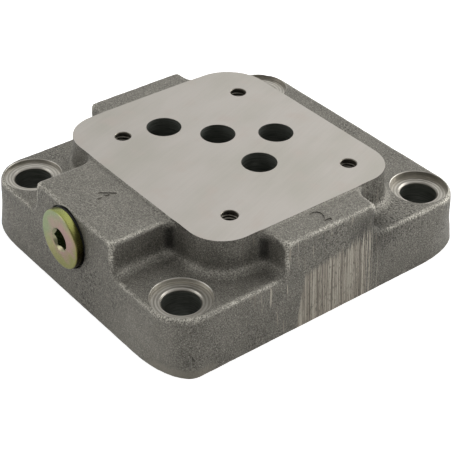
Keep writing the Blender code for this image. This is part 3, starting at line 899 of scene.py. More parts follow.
@dataclass(frozen=True)
class Thread:
    """A screw thread of the usual triangular form, with flat crests and roots."""

    major: float
    minor: float
    pitch: float
    rows: tuple[float, ...] = (0.0, 0.22, 0.58, 0.70)

    def radius(self, row: int) -> float:
        """The radius at one of the four points of each pitch."""
        return (self.minor if row % len(self.rows) < 2 else self.major) / 2

    def add_to(self, bm: bmesh.types.BMesh, low: float, high: float, facets: int) -> None:
        """Adds a closed threaded rod about Z.

        Args:
            bm: Takes the shape.
            low: Where the rod starts.
            high: Where it ends, to the next whole turn.
            facets: How many flats go round it.
        """
        points = len(self.rows)
        turns = math.ceil((high - low) / self.pitch)
        last = turns * points
        grid = {}
        for row in range(last + points + 1):
            for step in range(facets if row <= last else 1):
                turn = math.tau * step / facets
                height = low + self.pitch * (row // points + self.rows[row % points] + step / facets)
                radius = self.radius(row)
                place = (radius * math.cos(turn), radius * math.sin(turn), height)
                grid[row, step] = bm.verts.new(place)

        def corner(row: int, step: int) -> bmesh.types.BMVert:
            """A point of the helix, which goes on a pitch higher after each turn."""
            return grid[(row + points, 0) if step == facets else (row, step)]

        for row in range(last):
            for step in range(facets):
                bm.faces.new((corner(row, step), corner(row, step + 1), corner(row + 1, step + 1),
                              corner(row + 1, step)))
        reach = self.minor / 2
        for row, pole_height in ((0, low - reach), (last, low + self.pitch * (turns + 1) + reach)):
            pole = bm.verts.new((0.0, 0.0, pole_height))
            loop = [corner(row, step) for step in range(facets + 1)]
            loop += [grid[row + back, 0] for back in reversed(range(points))]
            for here, after in zip(loop, loop[1:]):
                bm.faces.new((here, after, pole))


@dataclass
class Workshop:
    """The tool shapes that cut the body or are joined to it, each with the surface that it leaves."""

    surfaces: dict[Surface, bpy.types.Material]
    meshes: list[bpy.types.Mesh] = field(default_factory=list)

    def add(self, bm: bmesh.types.BMesh, name: str, surface: Surface, placement: Matrix = IN_PLACE) -> None:
        """Keeps one closed shape as a tool."""
        self.meshes.append(close_mesh(bm, name, placement, self.surfaces[surface]))

    def turned(self, name: str, profile: list[tuple[float, float]], facets: int, surface: Surface,
               placement: Matrix = IN_PLACE) -> None:
        """Keeps one turned shape as a tool.

        Args:
            name: The tool's name.
            profile: Its profile, as lathe takes it.
            facets: How many flats go round it.
            surface: What it leaves.
            placement: Where it goes in the part's frame.
        """
        bm = bmesh.new()
        lathe(bm, profile, facets)
        self.add(bm, name, surface, placement)

    def block(self, name: str, low: tuple, high: tuple, surface: Surface) -> None:
        """Keeps a block as a tool.

        Args:
            name: The tool's name.
            low: Its lowest corner.
            high: Its highest corner.
            surface: What it leaves.
        """
        bm = bmesh.new()
        add_block(bm, low, high)
        self.add(bm, name, surface)

    def work_on(self, obj: bpy.types.Object, operation: Operation) -> None:
        """Uses every kept tool on the object, whose mesh is replaced.

        Args:
            obj: What is worked on.
            operation: Whether the tools cut or are joined.
        """
        tools = bpy.data.collections.new("tools")
        bpy.context.scene.collection.children.link(tools)
        for mesh in self.meshes:
            tools.objects.link(bpy.data.objects.new(mesh.name, mesh))
        modifier = obj.modifiers.new("work", "BOOLEAN")
        modifier.operation = operation.value
        modifier.operand_type = "COLLECTION"
        modifier.collection = tools
        modifier.solver = "MANIFOLD"
        modifier.material_mode = "TRANSFER"
        mesh = settled(obj)
        obj.modifiers.clear()
        obj.data = mesh
        for tool in list(tools.objects):
            bpy.data.objects.remove(tool)
        bpy.data.collections.remove(tools)
        self.meshes = []


def add_block(bm: bmesh.types.BMesh, low: tuple, high: tuple) -> None:
    """Adds a block between two corners.

    Args:
        bm: Takes the block.
        low: Its lowest corner.
        high: Its highest corner.
    """
    made = bmesh.ops.create_cube(bm, size=1.0)["verts"]
    size = [b - a for a, b in zip(low, high)]
    middle = [(a + b) / 2 for a, b in zip(low, high)]
    bmesh.ops.scale(bm, vec=size, verts=made)
    bmesh.ops.translate(bm, vec=middle, verts=made)


def shade(mesh: bpy.types.Mesh, angle: float = SMOOTH_ANGLE) -> None:
    """Smooth shading between crisp edges."""
    mesh.shade_smooth()
    mesh.set_sharp_from_angle(angle=angle)


def dress(obj: bpy.types.Object, node: str) -> bpy.types.Object:
    """Makes a piece stand for its CAD node, on the part's only body.

    Args:
        obj: The piece.
        node: The CAD node that it replaces.

    Returns:
        The piece.
    """
    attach(obj, "root")
    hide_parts(node)
    LOG.info("%s: %d triangles", obj.name, sum(len(face.vertices) - 2 for face in obj.data.polygons))
    return obj


@dataclass(frozen=True)
class Ear:
    """One bolted ear: where its hole is, and how far down its counterbore goes."""

    name: str
    x: float
    y: float
    spot_depth: float


class Neighbours:
    """Which vertices of a mesh are joined by an edge, and what they give each other."""

    def __init__(self, mesh: bpy.types.Mesh) -> None:
        """Reads the mesh's edges.

        Args:
            mesh: The mesh.
        """
        edges = np.empty(len(mesh.edges) * 2, np.int32)
        mesh.edges.foreach_get("vertices", edges)
        ends = edges.reshape(-1, 2)
        self.near = np.concatenate((ends[:, 0], ends[:, 1]))
        self.far = np.concatenate((ends[:, 1], ends[:, 0]))
        self.count = len(mesh.vertices)
        self.degree = np.maximum(np.bincount(self.near, minlength=self.count), 1)

    def mean(self, values: np.ndarray) -> np.ndarray:
        """The mean, at each vertex, of a value that each of its edges has."""
        return np.bincount(self.near, weights=values, minlength=self.count) / self.degree

    def middles(self, places: np.ndarray) -> np.ndarray:
        """The middle of each vertex's neighbours."""
        return np.stack([self.mean(places[self.far, axis]) for axis in range(3)], axis=1)

    def blurred(self, values: np.ndarray, steps: int) -> np.ndarray:
        """The values, spread over the mesh step by step.

        Args:
            values: A value for each vertex.
            steps: How many steps.

        Returns:
            The spread values.
        """
        for _ in range(steps):
            values = values * BLUR[0] + self.mean(values[self.far]) * BLUR[1]
        return values


@dataclass(frozen=True)
class SandSkin:
    """The casting's skin: how its rims, hollows and feet are found, and what sand and knocks have left in it.

    A bend is how far a vertex stands below its neighbours, over the length of an edge, and shares are from 0
    to 1. Behind the right arm's end the mould was washed out, so the edge there is smoothed away and scabby.
    Waves are in millimetres. Sand grains leave far finer relief too, which the material draws.
    """

    smoothing: tuple[float, float] = (0.5, -0.53)
    smoothing_rounds: int = 4
    rim_blur: int = 2
    rim_bend: float = 0.049
    rim_ease: float = 0.014
    rim_width: float = 0.040
    rim_most: float = 0.85
    hollow_blur: int = 14
    hollow_bend: float = 0.0095
    hollow_width: float = 0.005
    hollow_share: float = 0.84
    hollow_soften: int = 3
    crease_across: float = 0.55
    crease_width: float = 0.4
    wall_slope: float = 0.5
    wall_width: float = 0.25
    foot_blur: int = 8
    foot_bend: float = 0.012
    foot_width: float = 0.008
    foot_share: float = 0.4
    foot_slope: float = 0.66
    foot_slope_width: float = 0.2
    washed_corner: Spot = (50.0 * MM, 18.0 * MM, 22.5 * MM)
    washed_reach: float = 6.5 * MM
    washed_below: float = 2.5 * MM
    washed_fade: float = 3.0
    washed_rounds: int = 40
    washed_pull: float = 0.9
    scab_share: float = 0.38
    scab_pits: float = 0.3
    scab_bend: float = 0.006
    scab_width: float = 0.012
    slow_wave: float = 11.0
    slow_depth: float = 0.14
    sand_wave: float = 1.9
    sand_depth: float = 0.07
    nick_wave: float = 2.6
    nick_depth: float = 0.22
    nick_from: float = 0.1
    nick_rims: float = 0.05
    least_length: float = 1e-9
    least_side: float = 0.01

    def roughen(self, skin: bpy.types.Mesh, arm_top: float) -> tuple[np.ndarray, np.ndarray, KDTree]:
        """Smooths the skin's steps, measures it, and sinks sand grain and nicks into it.

        Args:
            skin: The mesh, which is changed.
            arm_top: The height of the arms.

        Returns:
            How much each vertex is on a rim or a lit foot, which take worn bright metal and a painted
            highlight, how much it is darkened with painted shade in a hollow, and a tree of the vertices.
        """
        joined = Neighbours(skin)
        places = vectors(skin, "co")
        for _ in range(self.smoothing_rounds):
            for share in self.smoothing:
                places = places * (1.0 - share) + joined.middles(places) * share
        move_to(skin, places)
        away = np.linalg.norm(places - self.washed_corner, axis=1) / self.washed_reach
        washed = np.clip(1.0 - away, 0.0, 1.0)
        scabby = np.clip(2.0 - away, 0.0, 1.0)
        below = places[:, 2] < arm_top - self.washed_below
        bend, lit_feet, creases, upright = self.bends(joined, places, vectors(skin, "normal"))
        rims = (-bend - self.rim_bend + self.rim_ease * upright) / self.rim_width
        rims = np.clip(rims, 0.0, self.rim_most)
        rims *= 1.0 - np.clip(washed * self.washed_fade, 0.0, 1.0) * below
        scabs = self.scab_share + self.scab_pits * rising(bend, self.scab_bend, self.scab_width)
        # Painted shade: upright creases are darkened, and patches of the washed-out corner below the arms'
        # tops.
        shaded_hollows = joined.blurred(np.maximum(creases, scabby * below * scabs), self.hollow_soften)
        depths = self.depths(places, rims)
        for _ in range(self.washed_rounds):
            places += (joined.middles(places) - places) * washed[:, None] * self.washed_pull
        move_to(skin, places)
        places -= vectors(skin, "normal") * depths[:, None]
        move_to(skin, places)
        tree = KDTree(joined.count)
        for index, place in enumerate(places):
            tree.insert(place, index)
        tree.balance()
        return np.maximum(rims, lit_feet), shaded_hollows, tree

    def bends(self, joined: Neighbours, places: np.ndarray, normals: np.ndarray) -> tuple[np.ndarray, ...]:
        """Measures how the skin bends.

        Args:
            joined: The skin's neighbours.
            places: Its vertices.
            normals: Their normals.

        Returns:
            Each vertex's bend, how much it is on a rounded foot, for a painted highlight, in an upright crease,
            for painted shade, and on a wall.
        """
        runs = places[joined.far] - places[joined.near]
        lengths = np.maximum(np.linalg.norm(runs, axis=1), self.least_length)
        turns = (runs * normals[joined.near]).sum(axis=1) / lengths
        bend = joined.blurred(joined.mean(turns), self.rim_blur)
        foot = joined.blurred(bend, self.foot_blur)
        slope = np.abs(normals[:, 2] - self.foot_slope) / self.foot_slope_width
        slanted = np.clip(1.0 - slope, 0.0, 1.0)
        # Painted highlight: slanted rounded feet join the rims in the bright tone.
        lit_feet = rising(foot, self.foot_bend, self.foot_width) * slanted * self.foot_share
        level = 1.0 - (runs[:, 2] / lengths) ** 2
        corner = joined.blurred(joined.mean(turns * level), self.hollow_blur)
        upright = rising(-np.abs(normals[:, 2]), -self.wall_slope, self.wall_width)
        flatness = np.maximum(1.0 - normals[:, 2] ** 2, self.least_side)
        across = 2.0 * np.abs(normals[:, 0] * normals[:, 1]) / flatness
        # Upright hollow corners, which take painted shade.
        creases = rising(corner, self.hollow_bend, self.hollow_width)
        creases *= rising(across, self.crease_across, self.crease_width)
        creases *= upright
        creases *= self.hollow_share
        return bend, lit_feet, creases, upright

    def depths(self, places: np.ndarray, rims: np.ndarray) -> np.ndarray:
        """How far the skin is sunk at each vertex: slow waves, sand grain, and nicks on its rims.

        Args:
            places: The skin's vertices.
            rims: How much each is on a rim.

        Returns:
            The depths in metres.
        """
        depths = np.empty(len(places))
        for index, spot in enumerate(places):
            place = Vector(spot)
            depth = self.slow_depth * (0.5 + 0.5 * noise.noise(place * per_mm(self.slow_wave)))
            depth += self.sand_depth * (0.5 + 0.5 * noise.noise(place * per_mm(self.sand_wave)))
            if rims[index] > self.nick_rims:
                bite = max(0.0, noise.noise(place * per_mm(self.nick_wave)) - self.nick_from)
                depth += self.nick_depth * rims[index] * bite
            depths[index] = depth * MM
        return depths


@dataclass
class Casting:
    """The iron body: a cast skin over the CAD solid, with the machining cut into it afresh.

    A cutter starts above the surface that it cuts, by the sizes called over. The places of cores, ports,
    pipes and marks, and the steps of a fillet, are in millimetres.
    """

    pad_top: float = 30.7 * MM
    arm_top: float = 30.2 * MM
    ear_top: float = 19.6 * MM
    draft: float = math.radians(3.5)
    front: float = 57.45 * MM
    spare: float = 1.0 * MM
    weld: float = 0.002 * MM
    flush: float = 0.05 * MM
    skin: SandSkin = SandSkin()
    skin_cell: float = 0.56 * MM
    cores: tuple[tuple[Spot, Spot], ...] = (
        ((-36.0, -30.0, 1.0), (34.0, 32.0, 31.2)),
        ((-45.0, -45.0, -0.5), (46.0, 40.0, 16.0)),
        ((-14.0, -53.0, 8.0), (7.0, -28.0, 28.0)),
    )
    ears: tuple[Ear, ...] = (
        Ear("front_right", 39.1 * MM, -46.05 * MM, 1.5 * MM),
        Ear("back_right", 39.1 * MM, 46.05 * MM, 2.1 * MM),
        Ear("front_left", -39.1 * MM, -46.05 * MM, 1.2 * MM),
        Ear("back_left", -39.1 * MM, 46.05 * MM, 1.5 * MM),
    )
    ear_fill: float = 0.04 * MM
    ear_fill_drop: float = 0.02 * MM
    spot_radius: float = 9.0 * MM
    spot_over: float = 3.0 * MM
    spot_under: float = 0.9 * MM
    spot_break: float = 0.2 * MM
    break_top: float = 0.08 * MM
    break_foot: float = 0.28 * MM
    spot_fillet: tuple[tuple[float, float], ...] = ((0.0, 0.3), (0.1, 0.08), (0.35, 0.0))
    rings: int = 3
    ring_start: float = 0.55 * MM
    ring_ridge: float = 0.06 * MM
    ring_shares: tuple[float, float] = (0.55, 1.0)
    ring_steps: tuple[float, float, float] = (0.3, 0.45, 0.8)
    bolt_radius: float = 5.75 * MM
    bolt_chamfer: float = 0.5 * MM
    over: float = 2.0 * MM
    pattern_x: float = 1.3 * MM
    pattern_y: float = 2.35 * MM
    port_radius: float = 5.55 * MM
    port_floor: float = 12.0 * MM
    ports: tuple[tuple[float, float], ...] = ((0.0, 16.7), (-10.3, 1.6), (10.3, 1.6), (-23.8, -9.5))
    screw_reach_x: float = 27.0 * MM
    screw_reach_y: float = 23.0 * MM
    screw_thread: Thread = Thread(6.0 * MM, 4.95 * MM, 1.0 * MM)
    thread_foot: float = 3.5 * MM
    thread_head: float = 1.5 * MM
    screw_bore: float = 5.0 * MM
    screw_depth: float = 16.0 * MM
    screw_countersink: float = 0.2 * MM
    pipe_thread: Thread = Thread(20.955 * MM, 18.9 * MM, 1.814 * MM)
    pipe_thread_foot: float = 3.0 * MM
    pipe_thread_over: float = 1.0 * MM
    pipe_bore: float = 19.0 * MM
    pipe_depth: float = 15.5 * MM
    pipe_chamfer: float = 1.0 * MM
    pipes: tuple[tuple[float, float], ...] = ((1.3, 27.0), (-32.0, -4.0), (33.5, 1.0), (-3.8, -33.5))
    slant_foot: Spot = (36.0 * MM, 1.0 * MM, -1.0 * MM)
    slant_top: Spot = (11.6 * MM, 3.95 * MM, 21.0 * MM)
    slant_radius: float = 4.25 * MM
    slant_point: float = 2.5 * MM
    recess_radius: float = 9.85 * MM
    recess_over: float = 6.0 * MM
    recess_foot: float = 0.12 * MM
    recess_fill: float = 0.19 * MM
    recess_span: tuple[float, float] = (1.0 * MM, -9.0 * MM)
    plug_bore: float = 6.8785 * MM
    plug_bore_depth: float = 16.1 * MM
    plug_chamfer: float = 0.4 * MM
    cross_radius: float = 5.0 * MM
    cross_end: float = 60.727 * MM
    cutter_reach: float = 80.0 * MM
    cutter_height: float = 9.0 * MM
    marks: tuple[tuple[str, float, float, float], ...] = (("4", -2.5, -43.2, 0.0), ("2", 44.4, 0.1, 90.0))
    mark_height: float = 6.0 * MM
    mark_relief: float = 0.36 * MM
    mark_swell: float = 0.22 * MM
    digit_share: float = 0.7

    def build(self, surfaces: dict[Surface, bpy.types.Material]) -> bpy.types.Object:
        """Grows the skin, machines it and dresses it.

        Args:
            surfaces: The finishes by surface.

        Returns:
            The piece.
        """
        skin = self.grown_skin()
        skin.materials.clear()
        skin.materials.append(surfaces[Surface.CAST])
        body = new_object("iron_body", skin)
        rims, shaded_hollows, tree = self.skin.roughen(skin, self.arm_top)
        LOG.info("skin: %d faces", len(skin.polygons))
        shop = Workshop(surfaces)
        self.face(shop)
        self.bore_ears(shop)
        self.bore_valve_face(shop)
        self.bore_underside(shop)
        self.bore_front(shop)
        for text, x, y, turn in self.marks:
            self.sink_mark(shop, text, Vector((x * MM, y * MM, self.arm_top)), math.radians(turn))
        shop.work_on(body, Operation.CUT)
        self.carry_over(body.data, {"rim": rims, "hollow": shaded_hollows}, tree)
        shade(body.data)
        return dress(body, "subplate_body")

    def grown_skin(self) -> bpy.types.Mesh:
        """The CAD solid with its holes filled and its machined faces raised, as a mesh of small cells.

        Returns:
            The skin.
        """
        bm = bmesh.new()
        bm.from_mesh(frame["nodes"]["subplate_body"].data)
        bmesh.ops.remove_doubles(bm, verts=bm.verts, dist=self.weld)
        for vertex in bm.verts:
            if vertex.co.z > self.pad_top - self.flush:
                vertex.co.z += self.spare
            elif vertex.co.z < self.flush:
                vertex.co.z -= self.spare
        for low, high in self.cores:
            add_block(bm, *[[mark * MM for mark in corner] for corner in (low, high)])
        for ear in self.ears:
            self.fill_ear(bm, ear)
        self.fill_recess(bm)
        filled = new_object("filled", close_mesh(bm, "filled"))
        remesh = filled.modifiers.new("sand", "REMESH")
        remesh.mode = "VOXEL"
        remesh.voxel_size = self.skin_cell
        skin = settled(filled)
        bpy.data.objects.remove(filled)
        return skin

    def fill_ear(self, bm: bmesh.types.BMesh, ear: Ear) -> None:
        """Fills a bolt hole and its counterbore up to the ear's top.

        Args:
            bm: The solid.
            ear: The ear.
        """
        made = bmesh.new()
        top = self.ear_top - self.ear_fill_drop
        lathe(made, rod(top, self.spot_radius + self.ear_fill, -self.spare / 2), Facets.COARSE)
        bmesh.ops.translate(made, vec=(ear.x, ear.y, 0.0), verts=made.verts)
        self.take(bm, made)

    def fill_recess(self, bm: bmesh.types.BMesh) -> None:
        """Fills the plug's recess, up to the drafted front face.

        Args:
            bm: The solid.
        """
        made = bmesh.new()
        outer, inner = self.recess_span
        lathe(made, rod(outer, self.recess_radius + self.recess_fill, inner), Facets.COARSE)
        turn = Matrix.Translation((PLUG_PLACE[0], -self.front, PLUG_PLACE[2])) @ FORWARD
        bmesh.ops.transform(made, matrix=turn, verts=made.verts)
        for vertex in made.verts:
            face = -(self.front - vertex.co.z * math.tan(self.draft))
            vertex.co.y = max(vertex.co.y, face)
        self.take(bm, made)

    def take(self, bm: bmesh.types.BMesh, made: bmesh.types.BMesh) -> None:
        """Adds one bmesh to another and frees it.

        Args:
            bm: Takes the other.
            made: The other, which is used up.
        """
        bmesh.ops.recalc_face_normals(made, faces=made.faces)
        mesh = bpy.data.meshes.new("made")
        made.to_mesh(mesh)
        made.free()
        bm.from_mesh(mesh)
        bpy.data.meshes.remove(mesh)

    def sink_mark(self, shop: Workshop, text: str, place: Vector, turn: float) -> None:
        """Sinks a plain cast numeral into the top of an arm.

        Args:
            shop: Takes the numeral's shape.
            text: The numeral.
            place: Its middle.
            turn: Its turn about Z.
        """
        curve = bpy.data.curves.new("mark", "FONT")
        curve.body = text
        curve.size = self.mark_height / self.digit_share
        curve.align_x = "CENTER"
        curve.align_y = "CENTER"
        curve.extrude = self.mark_relief
        curve.offset = self.mark_swell
        obj = new_object("mark", curve)
        obj.matrix_world = Matrix.Translation(place) @ Matrix.Rotation(turn, 4, "Z")
        bpy.context.view_layer.update()
        bm = bmesh.new()
        bm.from_mesh(settled(obj))
        bmesh.ops.remove_doubles(bm, verts=bm.verts, dist=self.weld / 2)
        shop.add(bm, f"mark_{text}", Surface.CAST, obj.matrix_world.copy())
        bpy.data.objects.remove(obj)

    def carry_over(self, mesh: bpy.types.Mesh, values: dict[str, np.ndarray], tree: KDTree) -> None:
        """Gives the machined mesh the values of the nearest points of the skin.

        Args:
            mesh: The machined mesh.
            values: The skin's values by name.
            tree: The skin's vertices.
        """
        nearest = [tree.find(vertex.co)[1] for vertex in mesh.vertices]
        for name, source in values.items():
            attribute = mesh.attributes.new(name, "FLOAT", "POINT")
            attribute.data.foreach_set("value", source[nearest].astype(np.float32))

    def face(self, shop: Workshop) -> None:
        """Grinds the top of the pad and mills the underside.

        Args:
            shop: Takes the tool shapes.
        """
        reach, height = self.cutter_reach, self.cutter_height
        top = self.pad_top
        shop.block("grinding", (-reach, -reach, top), (reach, reach, top + height), Surface.GROUND)
        shop.block("milling", (-reach, -reach, -height), (reach, reach, 0.0), Surface.MILLED)

    def bore_ears(self, shop: Workshop) -> None:
        """Counterbores and drills the four ears.

        Args:
            shop: Takes the tool shapes.
        """
        for ear in self.ears:
            floor = self.ear_top - ear.spot_depth
            inner = self.bolt_radius + self.bolt_chamfer
            placement = Matrix.Translation((ear.x, ear.y, 0.0))
            spot = self.spot_profile(floor, inner)
            shop.turned(f"spot_{ear.name}", spot, Facets.FINEST, Surface.TURNED, placement)
            bore = [(0.0, floor), (self.bolt_radius, floor), (self.bolt_radius, self.bolt_chamfer),
                    (inner, 0.0), (inner, -self.over), (0.0, -self.over)]
            shop.turned(f"bolt_bore_{ear.name}", bore, Facets.FINEST, Surface.BORED, placement)

    def spot_profile(self, floor: float, inner: float) -> list[tuple[float, float]]:
        """The counterbore's shape: a broken edge, a small fillet, and the tool's rings on its floor.

        Args:
            floor: The height of its floor.
            inner: The radius of the bolt hole's chamfer.

        Returns:
            The profile.
        """
        top = self.ear_top
        broken = self.spot_radius + self.spot_break
        profile = [(0.0, top + self.spot_over), (broken, top + self.spot_over),
                   (broken, top - self.break_top), (self.spot_radius, top - self.break_foot)]
        profile += [(self.spot_radius - inward * MM, floor + up * MM) for inward, up in self.spot_fillet]
        gap = (self.spot_radius - self.ring_start - inner) / self.rings
        rise, crest, fall = self.ring_steps
        for ring in range(self.rings):
            start = self.spot_radius - self.ring_start - gap * ring
            ridge = floor + self.ring_ridge * self.ring_shares[ring % 2]
            profile += [(start, floor), (start - gap * rise, ridge), (start - gap * crest, ridge),
                        (start - gap * fall, floor)]
        low = floor - self.spot_under
        return profile + [(inner, floor), (self.bolt_radius, floor - self.bolt_chamfer),
                          (self.bolt_radius, low), (0.0, low)]

    def bore_valve_face(self, shop: Workshop) -> None:
        """Bores the four oil ports and taps the four screw holes.

        Args:
            shop: Takes the tool shapes.
        """
        top = self.pad_top
        over = top + self.over
        for number, (x, y) in enumerate(self.ports):
            profile = rod(over, self.port_radius, self.port_floor, self.port_radius * DRILL_POINT)
            placement = Matrix.Translation((self.pattern_x + x * MM, self.pattern_y + y * MM, 0.0))
            shop.turned(f"port_{number}", profile, Facets.FINE, Surface.BORED, placement)
        radius = self.screw_bore / 2
        mouth = radius + self.screw_countersink
        floor = top - self.screw_depth
        for side_x in (-1, 1):
            for side_y in (-1, 1):
                name = f"{side_x}_{side_y}"
                placement = Matrix.Translation((self.pattern_x + side_x * self.screw_reach_x,
                                                self.pattern_y + side_y * self.screw_reach_y, 0.0))
                drill = rod(over, radius, floor, radius * DRILL_POINT)
                shop.turned(f"tap_drill_{name}", drill, Facets.COARSEST, Surface.TAPPED, placement)
                sink = rod(over, mouth, top, mouth)
                shop.turned(f"countersink_{name}", sink, Facets.COARSEST, Surface.TAPPED, placement)
                bm = bmesh.new()
                high = top - self.thread_head
                self.screw_thread.add_to(bm, floor + self.thread_foot, high, Facets.COARSEST)
                shop.add(bm, f"tap_{name}", Surface.TAPPED, placement)

    def bore_underside(self, shop: Workshop) -> None:
        """Drills and taps the four pipe ports, and drills up from the right one to its oil port.

        Args:
            shop: Takes the tool shapes.
        """
        radius = self.pipe_bore / 2
        mouth = radius + self.pipe_chamfer
        floor = -self.pipe_depth
        for number, (x, y) in enumerate(self.pipes):
            placement = Matrix.Translation((x * MM, y * MM, 0.0)) @ DOWNWARD
            profile = [(0.0, self.over), (mouth, self.over), (mouth, 0.0), (radius, -self.pipe_chamfer),
                       (radius, floor), (0.0, floor - radius * DRILL_POINT)]
            shop.turned(f"pipe_drill_{number}", profile, Facets.FINE, Surface.BORED, placement)
            bm = bmesh.new()
            self.pipe_thread.add_to(bm, floor + self.pipe_thread_foot, self.pipe_thread_over, Facets.MIDDLING)
            shop.add(bm, f"pipe_tap_{number}", Surface.TAPPED, placement)
        foot = Vector(self.slant_foot)
        axis = foot - Vector(self.slant_top)
        profile = rod(0.0, self.slant_radius, -axis.length, self.slant_point)
        placement = Matrix.Translation(foot) @ axis.to_track_quat("Z", "Y").to_matrix().to_4x4()
        shop.turned("slanted_drilling", profile, Facets.COARSEST, Surface.BORED, placement)

    def bore_front(self, shop: Workshop) -> None:
        """Cuts the plug's recess and seat, its bore and the cross-drilling behind it.

        Args:
            shop: Takes the tool shapes.
        """
        placement = Matrix.Translation(PLUG_PLACE) @ FORWARD
        depth = self.plug_bore_depth
        end = -depth - self.over
        seat = [(0.0, self.recess_over), (self.recess_radius, self.recess_over),
                (self.recess_radius, self.recess_foot), (self.recess_radius - self.recess_foot, 0.0),
                (self.plug_bore + self.plug_chamfer, 0.0), (self.plug_bore, -self.plug_chamfer),
                (self.plug_bore, -depth), (self.cross_radius, end), (0.0, end)]
        shop.turned("recess", seat, Facets.FINEST, Surface.BORED, placement)
        bore = rod(-depth, self.cross_radius, -self.cross_end, self.cross_radius * DRILL_POINT)
        shop.turned("cross_drilling", bore, Facets.COARSE, Surface.BORED, placement)


@dataclass
class ScrewPlug:
    """The hexagon-socket collar plug and the rubber ring under its collar."""

    underside: float = 1.4 * MM
    thickness: float = 2.6 * MM
    collar_radius: float = 9.4 * MM
    edge: float = 0.55 * MM
    edge_steps: int = 4
    face_dish: float = 0.02 * MM
    face_rings: int = 7
    ring_inner_radius: float = 4.2 * MM
    ring_margin: float = 0.3 * MM
    ring_depth: float = 0.03 * MM
    ring_share: float = 0.6
    back_edge: tuple[tuple[float, float], ...] = ((0.0, 0.25), (0.07, 0.07), (0.25, 0.0))
    neck_radius: float = 5.7 * MM
    neck_length: float = 1.6 * MM
    overlap: float = 1.0 * MM
    thread: Thread = Thread(13.157 * MM, 11.445 * MM, 1.337 * MM)
    thread_length: float = 11.5 * MM
    thread_start: float = 3.8 * MM
    thread_head: float = 2.2 * MM
    shank_head: float = 0.2 * MM
    socket_width: float = 6.0 * MM
    socket_depth: float = 7.0 * MM
    socket_lead: float = 0.4 * MM
    socket_over: float = 3.0 * MM
    seal_outer: float = 9.2 * MM
    seal_inner: float = 6.95 * MM
    seal_low: float = 0.3 * MM
    seal_high: float = 1.3 * MM
    seal_edge: float = 0.3 * MM
    seal_steps: int = 3

    def placement(self) -> Matrix:
        """The plug's own frame: its axis is Z, out of the front face, and the seat is at zero."""
        return Matrix.Translation(PLUG_PLACE) @ FORWARD

    def build(self, zinc: bpy.types.Material, rubber: bpy.types.Material) -> None:
        """Makes the plug and its ring."""
        self.build_plug(zinc)
        self.build_ring(rubber)

    def head_profile(self) -> list[tuple[float, float]]:
        """The collar and neck, with rounded edges and the fine steps of turning on its face.

        Returns:
            The profile.
        """
        front = self.underside + self.thickness
        outer = self.collar_radius
        profile = [(0.0, front - self.face_dish)]
        inner = self.ring_inner_radius
        gap = (outer - self.edge - self.ring_margin - inner) / self.face_rings
        for ring in range(self.face_rings):
            profile += [(inner + gap * ring, front - self.ring_depth),
                        (inner + gap * (ring + self.ring_share), front)]
        for step in range(self.edge_steps + 1):
            turn = math.radians(90.0) * step / self.edge_steps
            profile.append((outer - self.edge * (1 - math.sin(turn)),
                            front - self.edge * (1 - math.cos(turn))))
        low = self.underside
        profile += [(outer - inward * MM, low + up * MM) for inward, up in self.back_edge]
        end = low - self.neck_length - self.overlap
        return profile + [(self.neck_radius, low), (self.neck_radius, end), (0.0, end)]

    def build_plug(self, zinc: bpy.types.Material) -> None:
        """Turns the plug, threads its shank and broaches its socket.

        Args:
            zinc: The plug's finish.
        """
        bm = bmesh.new()
        lathe(bm, self.head_profile(), Facets.FINEST)
        plug = new_object("collar_screw_plug", close_mesh(bm, "collar_screw_plug", material=zinc))
        shop = Workshop({surface: zinc for surface in Surface})
        bm = bmesh.new()
        end = self.underside - self.neck_length
        tip = end - self.thread_length
        low = tip + self.thread.minor / 2 - self.thread_start
        self.thread.add_to(bm, low, end - self.thread_head, Facets.COARSE)
        for vertex in bm.verts:
            vertex.co.z = min(max(vertex.co.z, tip), end - self.shank_head)
        shop.add(bm, "shank", Surface.TURNED)
        shop.work_on(plug, Operation.JOIN)
        front = self.underside + self.thickness
        radius = self.socket_width / 2 / math.cos(math.radians(30.0))
        hexagon = rod(front + self.socket_over, radius, front - self.socket_depth, self.overlap)
        shop.turned("hexagon", hexagon, Facets.HEXAGON, Surface.TURNED)
        lead = radius + self.socket_lead
        cone = [(0.0, front + self.overlap), (lead + self.overlap, front + self.overlap), (0.0, front - lead)]
        shop.turned("lead_in", cone, Facets.MIDDLING, Surface.TURNED)
        shop.work_on(plug, Operation.CUT)
        plug.data.transform(self.placement())
        shade(plug.data)
        dress(plug, "screw_plug")

    def build_ring(self, rubber: bpy.types.Material) -> None:
        """Moulds the seal ring, with rounded edges.

        Args:
            rubber: The ring's finish.
        """
        profile = []
        edge = self.seal_edge
        corners = ((self.seal_outer, self.seal_high, 1, 1), (self.seal_outer, self.seal_low, 1, -1),
                   (self.seal_inner, self.seal_low, -1, -1), (self.seal_inner, self.seal_high, -1, 1))
        for quarter, (radius, height, side, level) in enumerate(corners):
            for step in range(self.seal_steps + 1):
                turn = math.radians(90.0) * (1 - quarter - step / self.seal_steps)
                profile.append((radius - side * edge + edge * math.cos(turn),
                                height - level * edge + edge * math.sin(turn)))
        bm = bmesh.new()
        lathe(bm, profile, Facets.FINE)
        mesh = close_mesh(bm, "rubber_seal_ring", self.placement(), rubber)
        ring = new_object("rubber_seal_ring", mesh)
        shade(mesh)
        dress(ring, "plug_seal_ring")


@dataclass(frozen=True)
class SoftBox:
    """One large soft lamp that looks at the part."""

    name: str
    place: tuple[float, float, float]
    size: float
    power: float
    mirrored: bool = True

    def build(self) -> None:
        """Hangs the lamp. One that isn't mirrored lights the part without showing in its ground faces."""
        lamp = bpy.data.lights.new(self.name, "AREA")
        lamp.shape = "SQUARE"
        lamp.size = self.size
        lamp.energy = self.power
        obj = bpy.data.objects.new(self.name, lamp)
        obj.location = self.place
        obj.rotation_euler = (-Vector(self.place)).to_track_quat("-Z", "Y").to_euler()
        obj.visible_glossy = self.mirrored
        bpy.context.scene.collection.objects.link(obj)


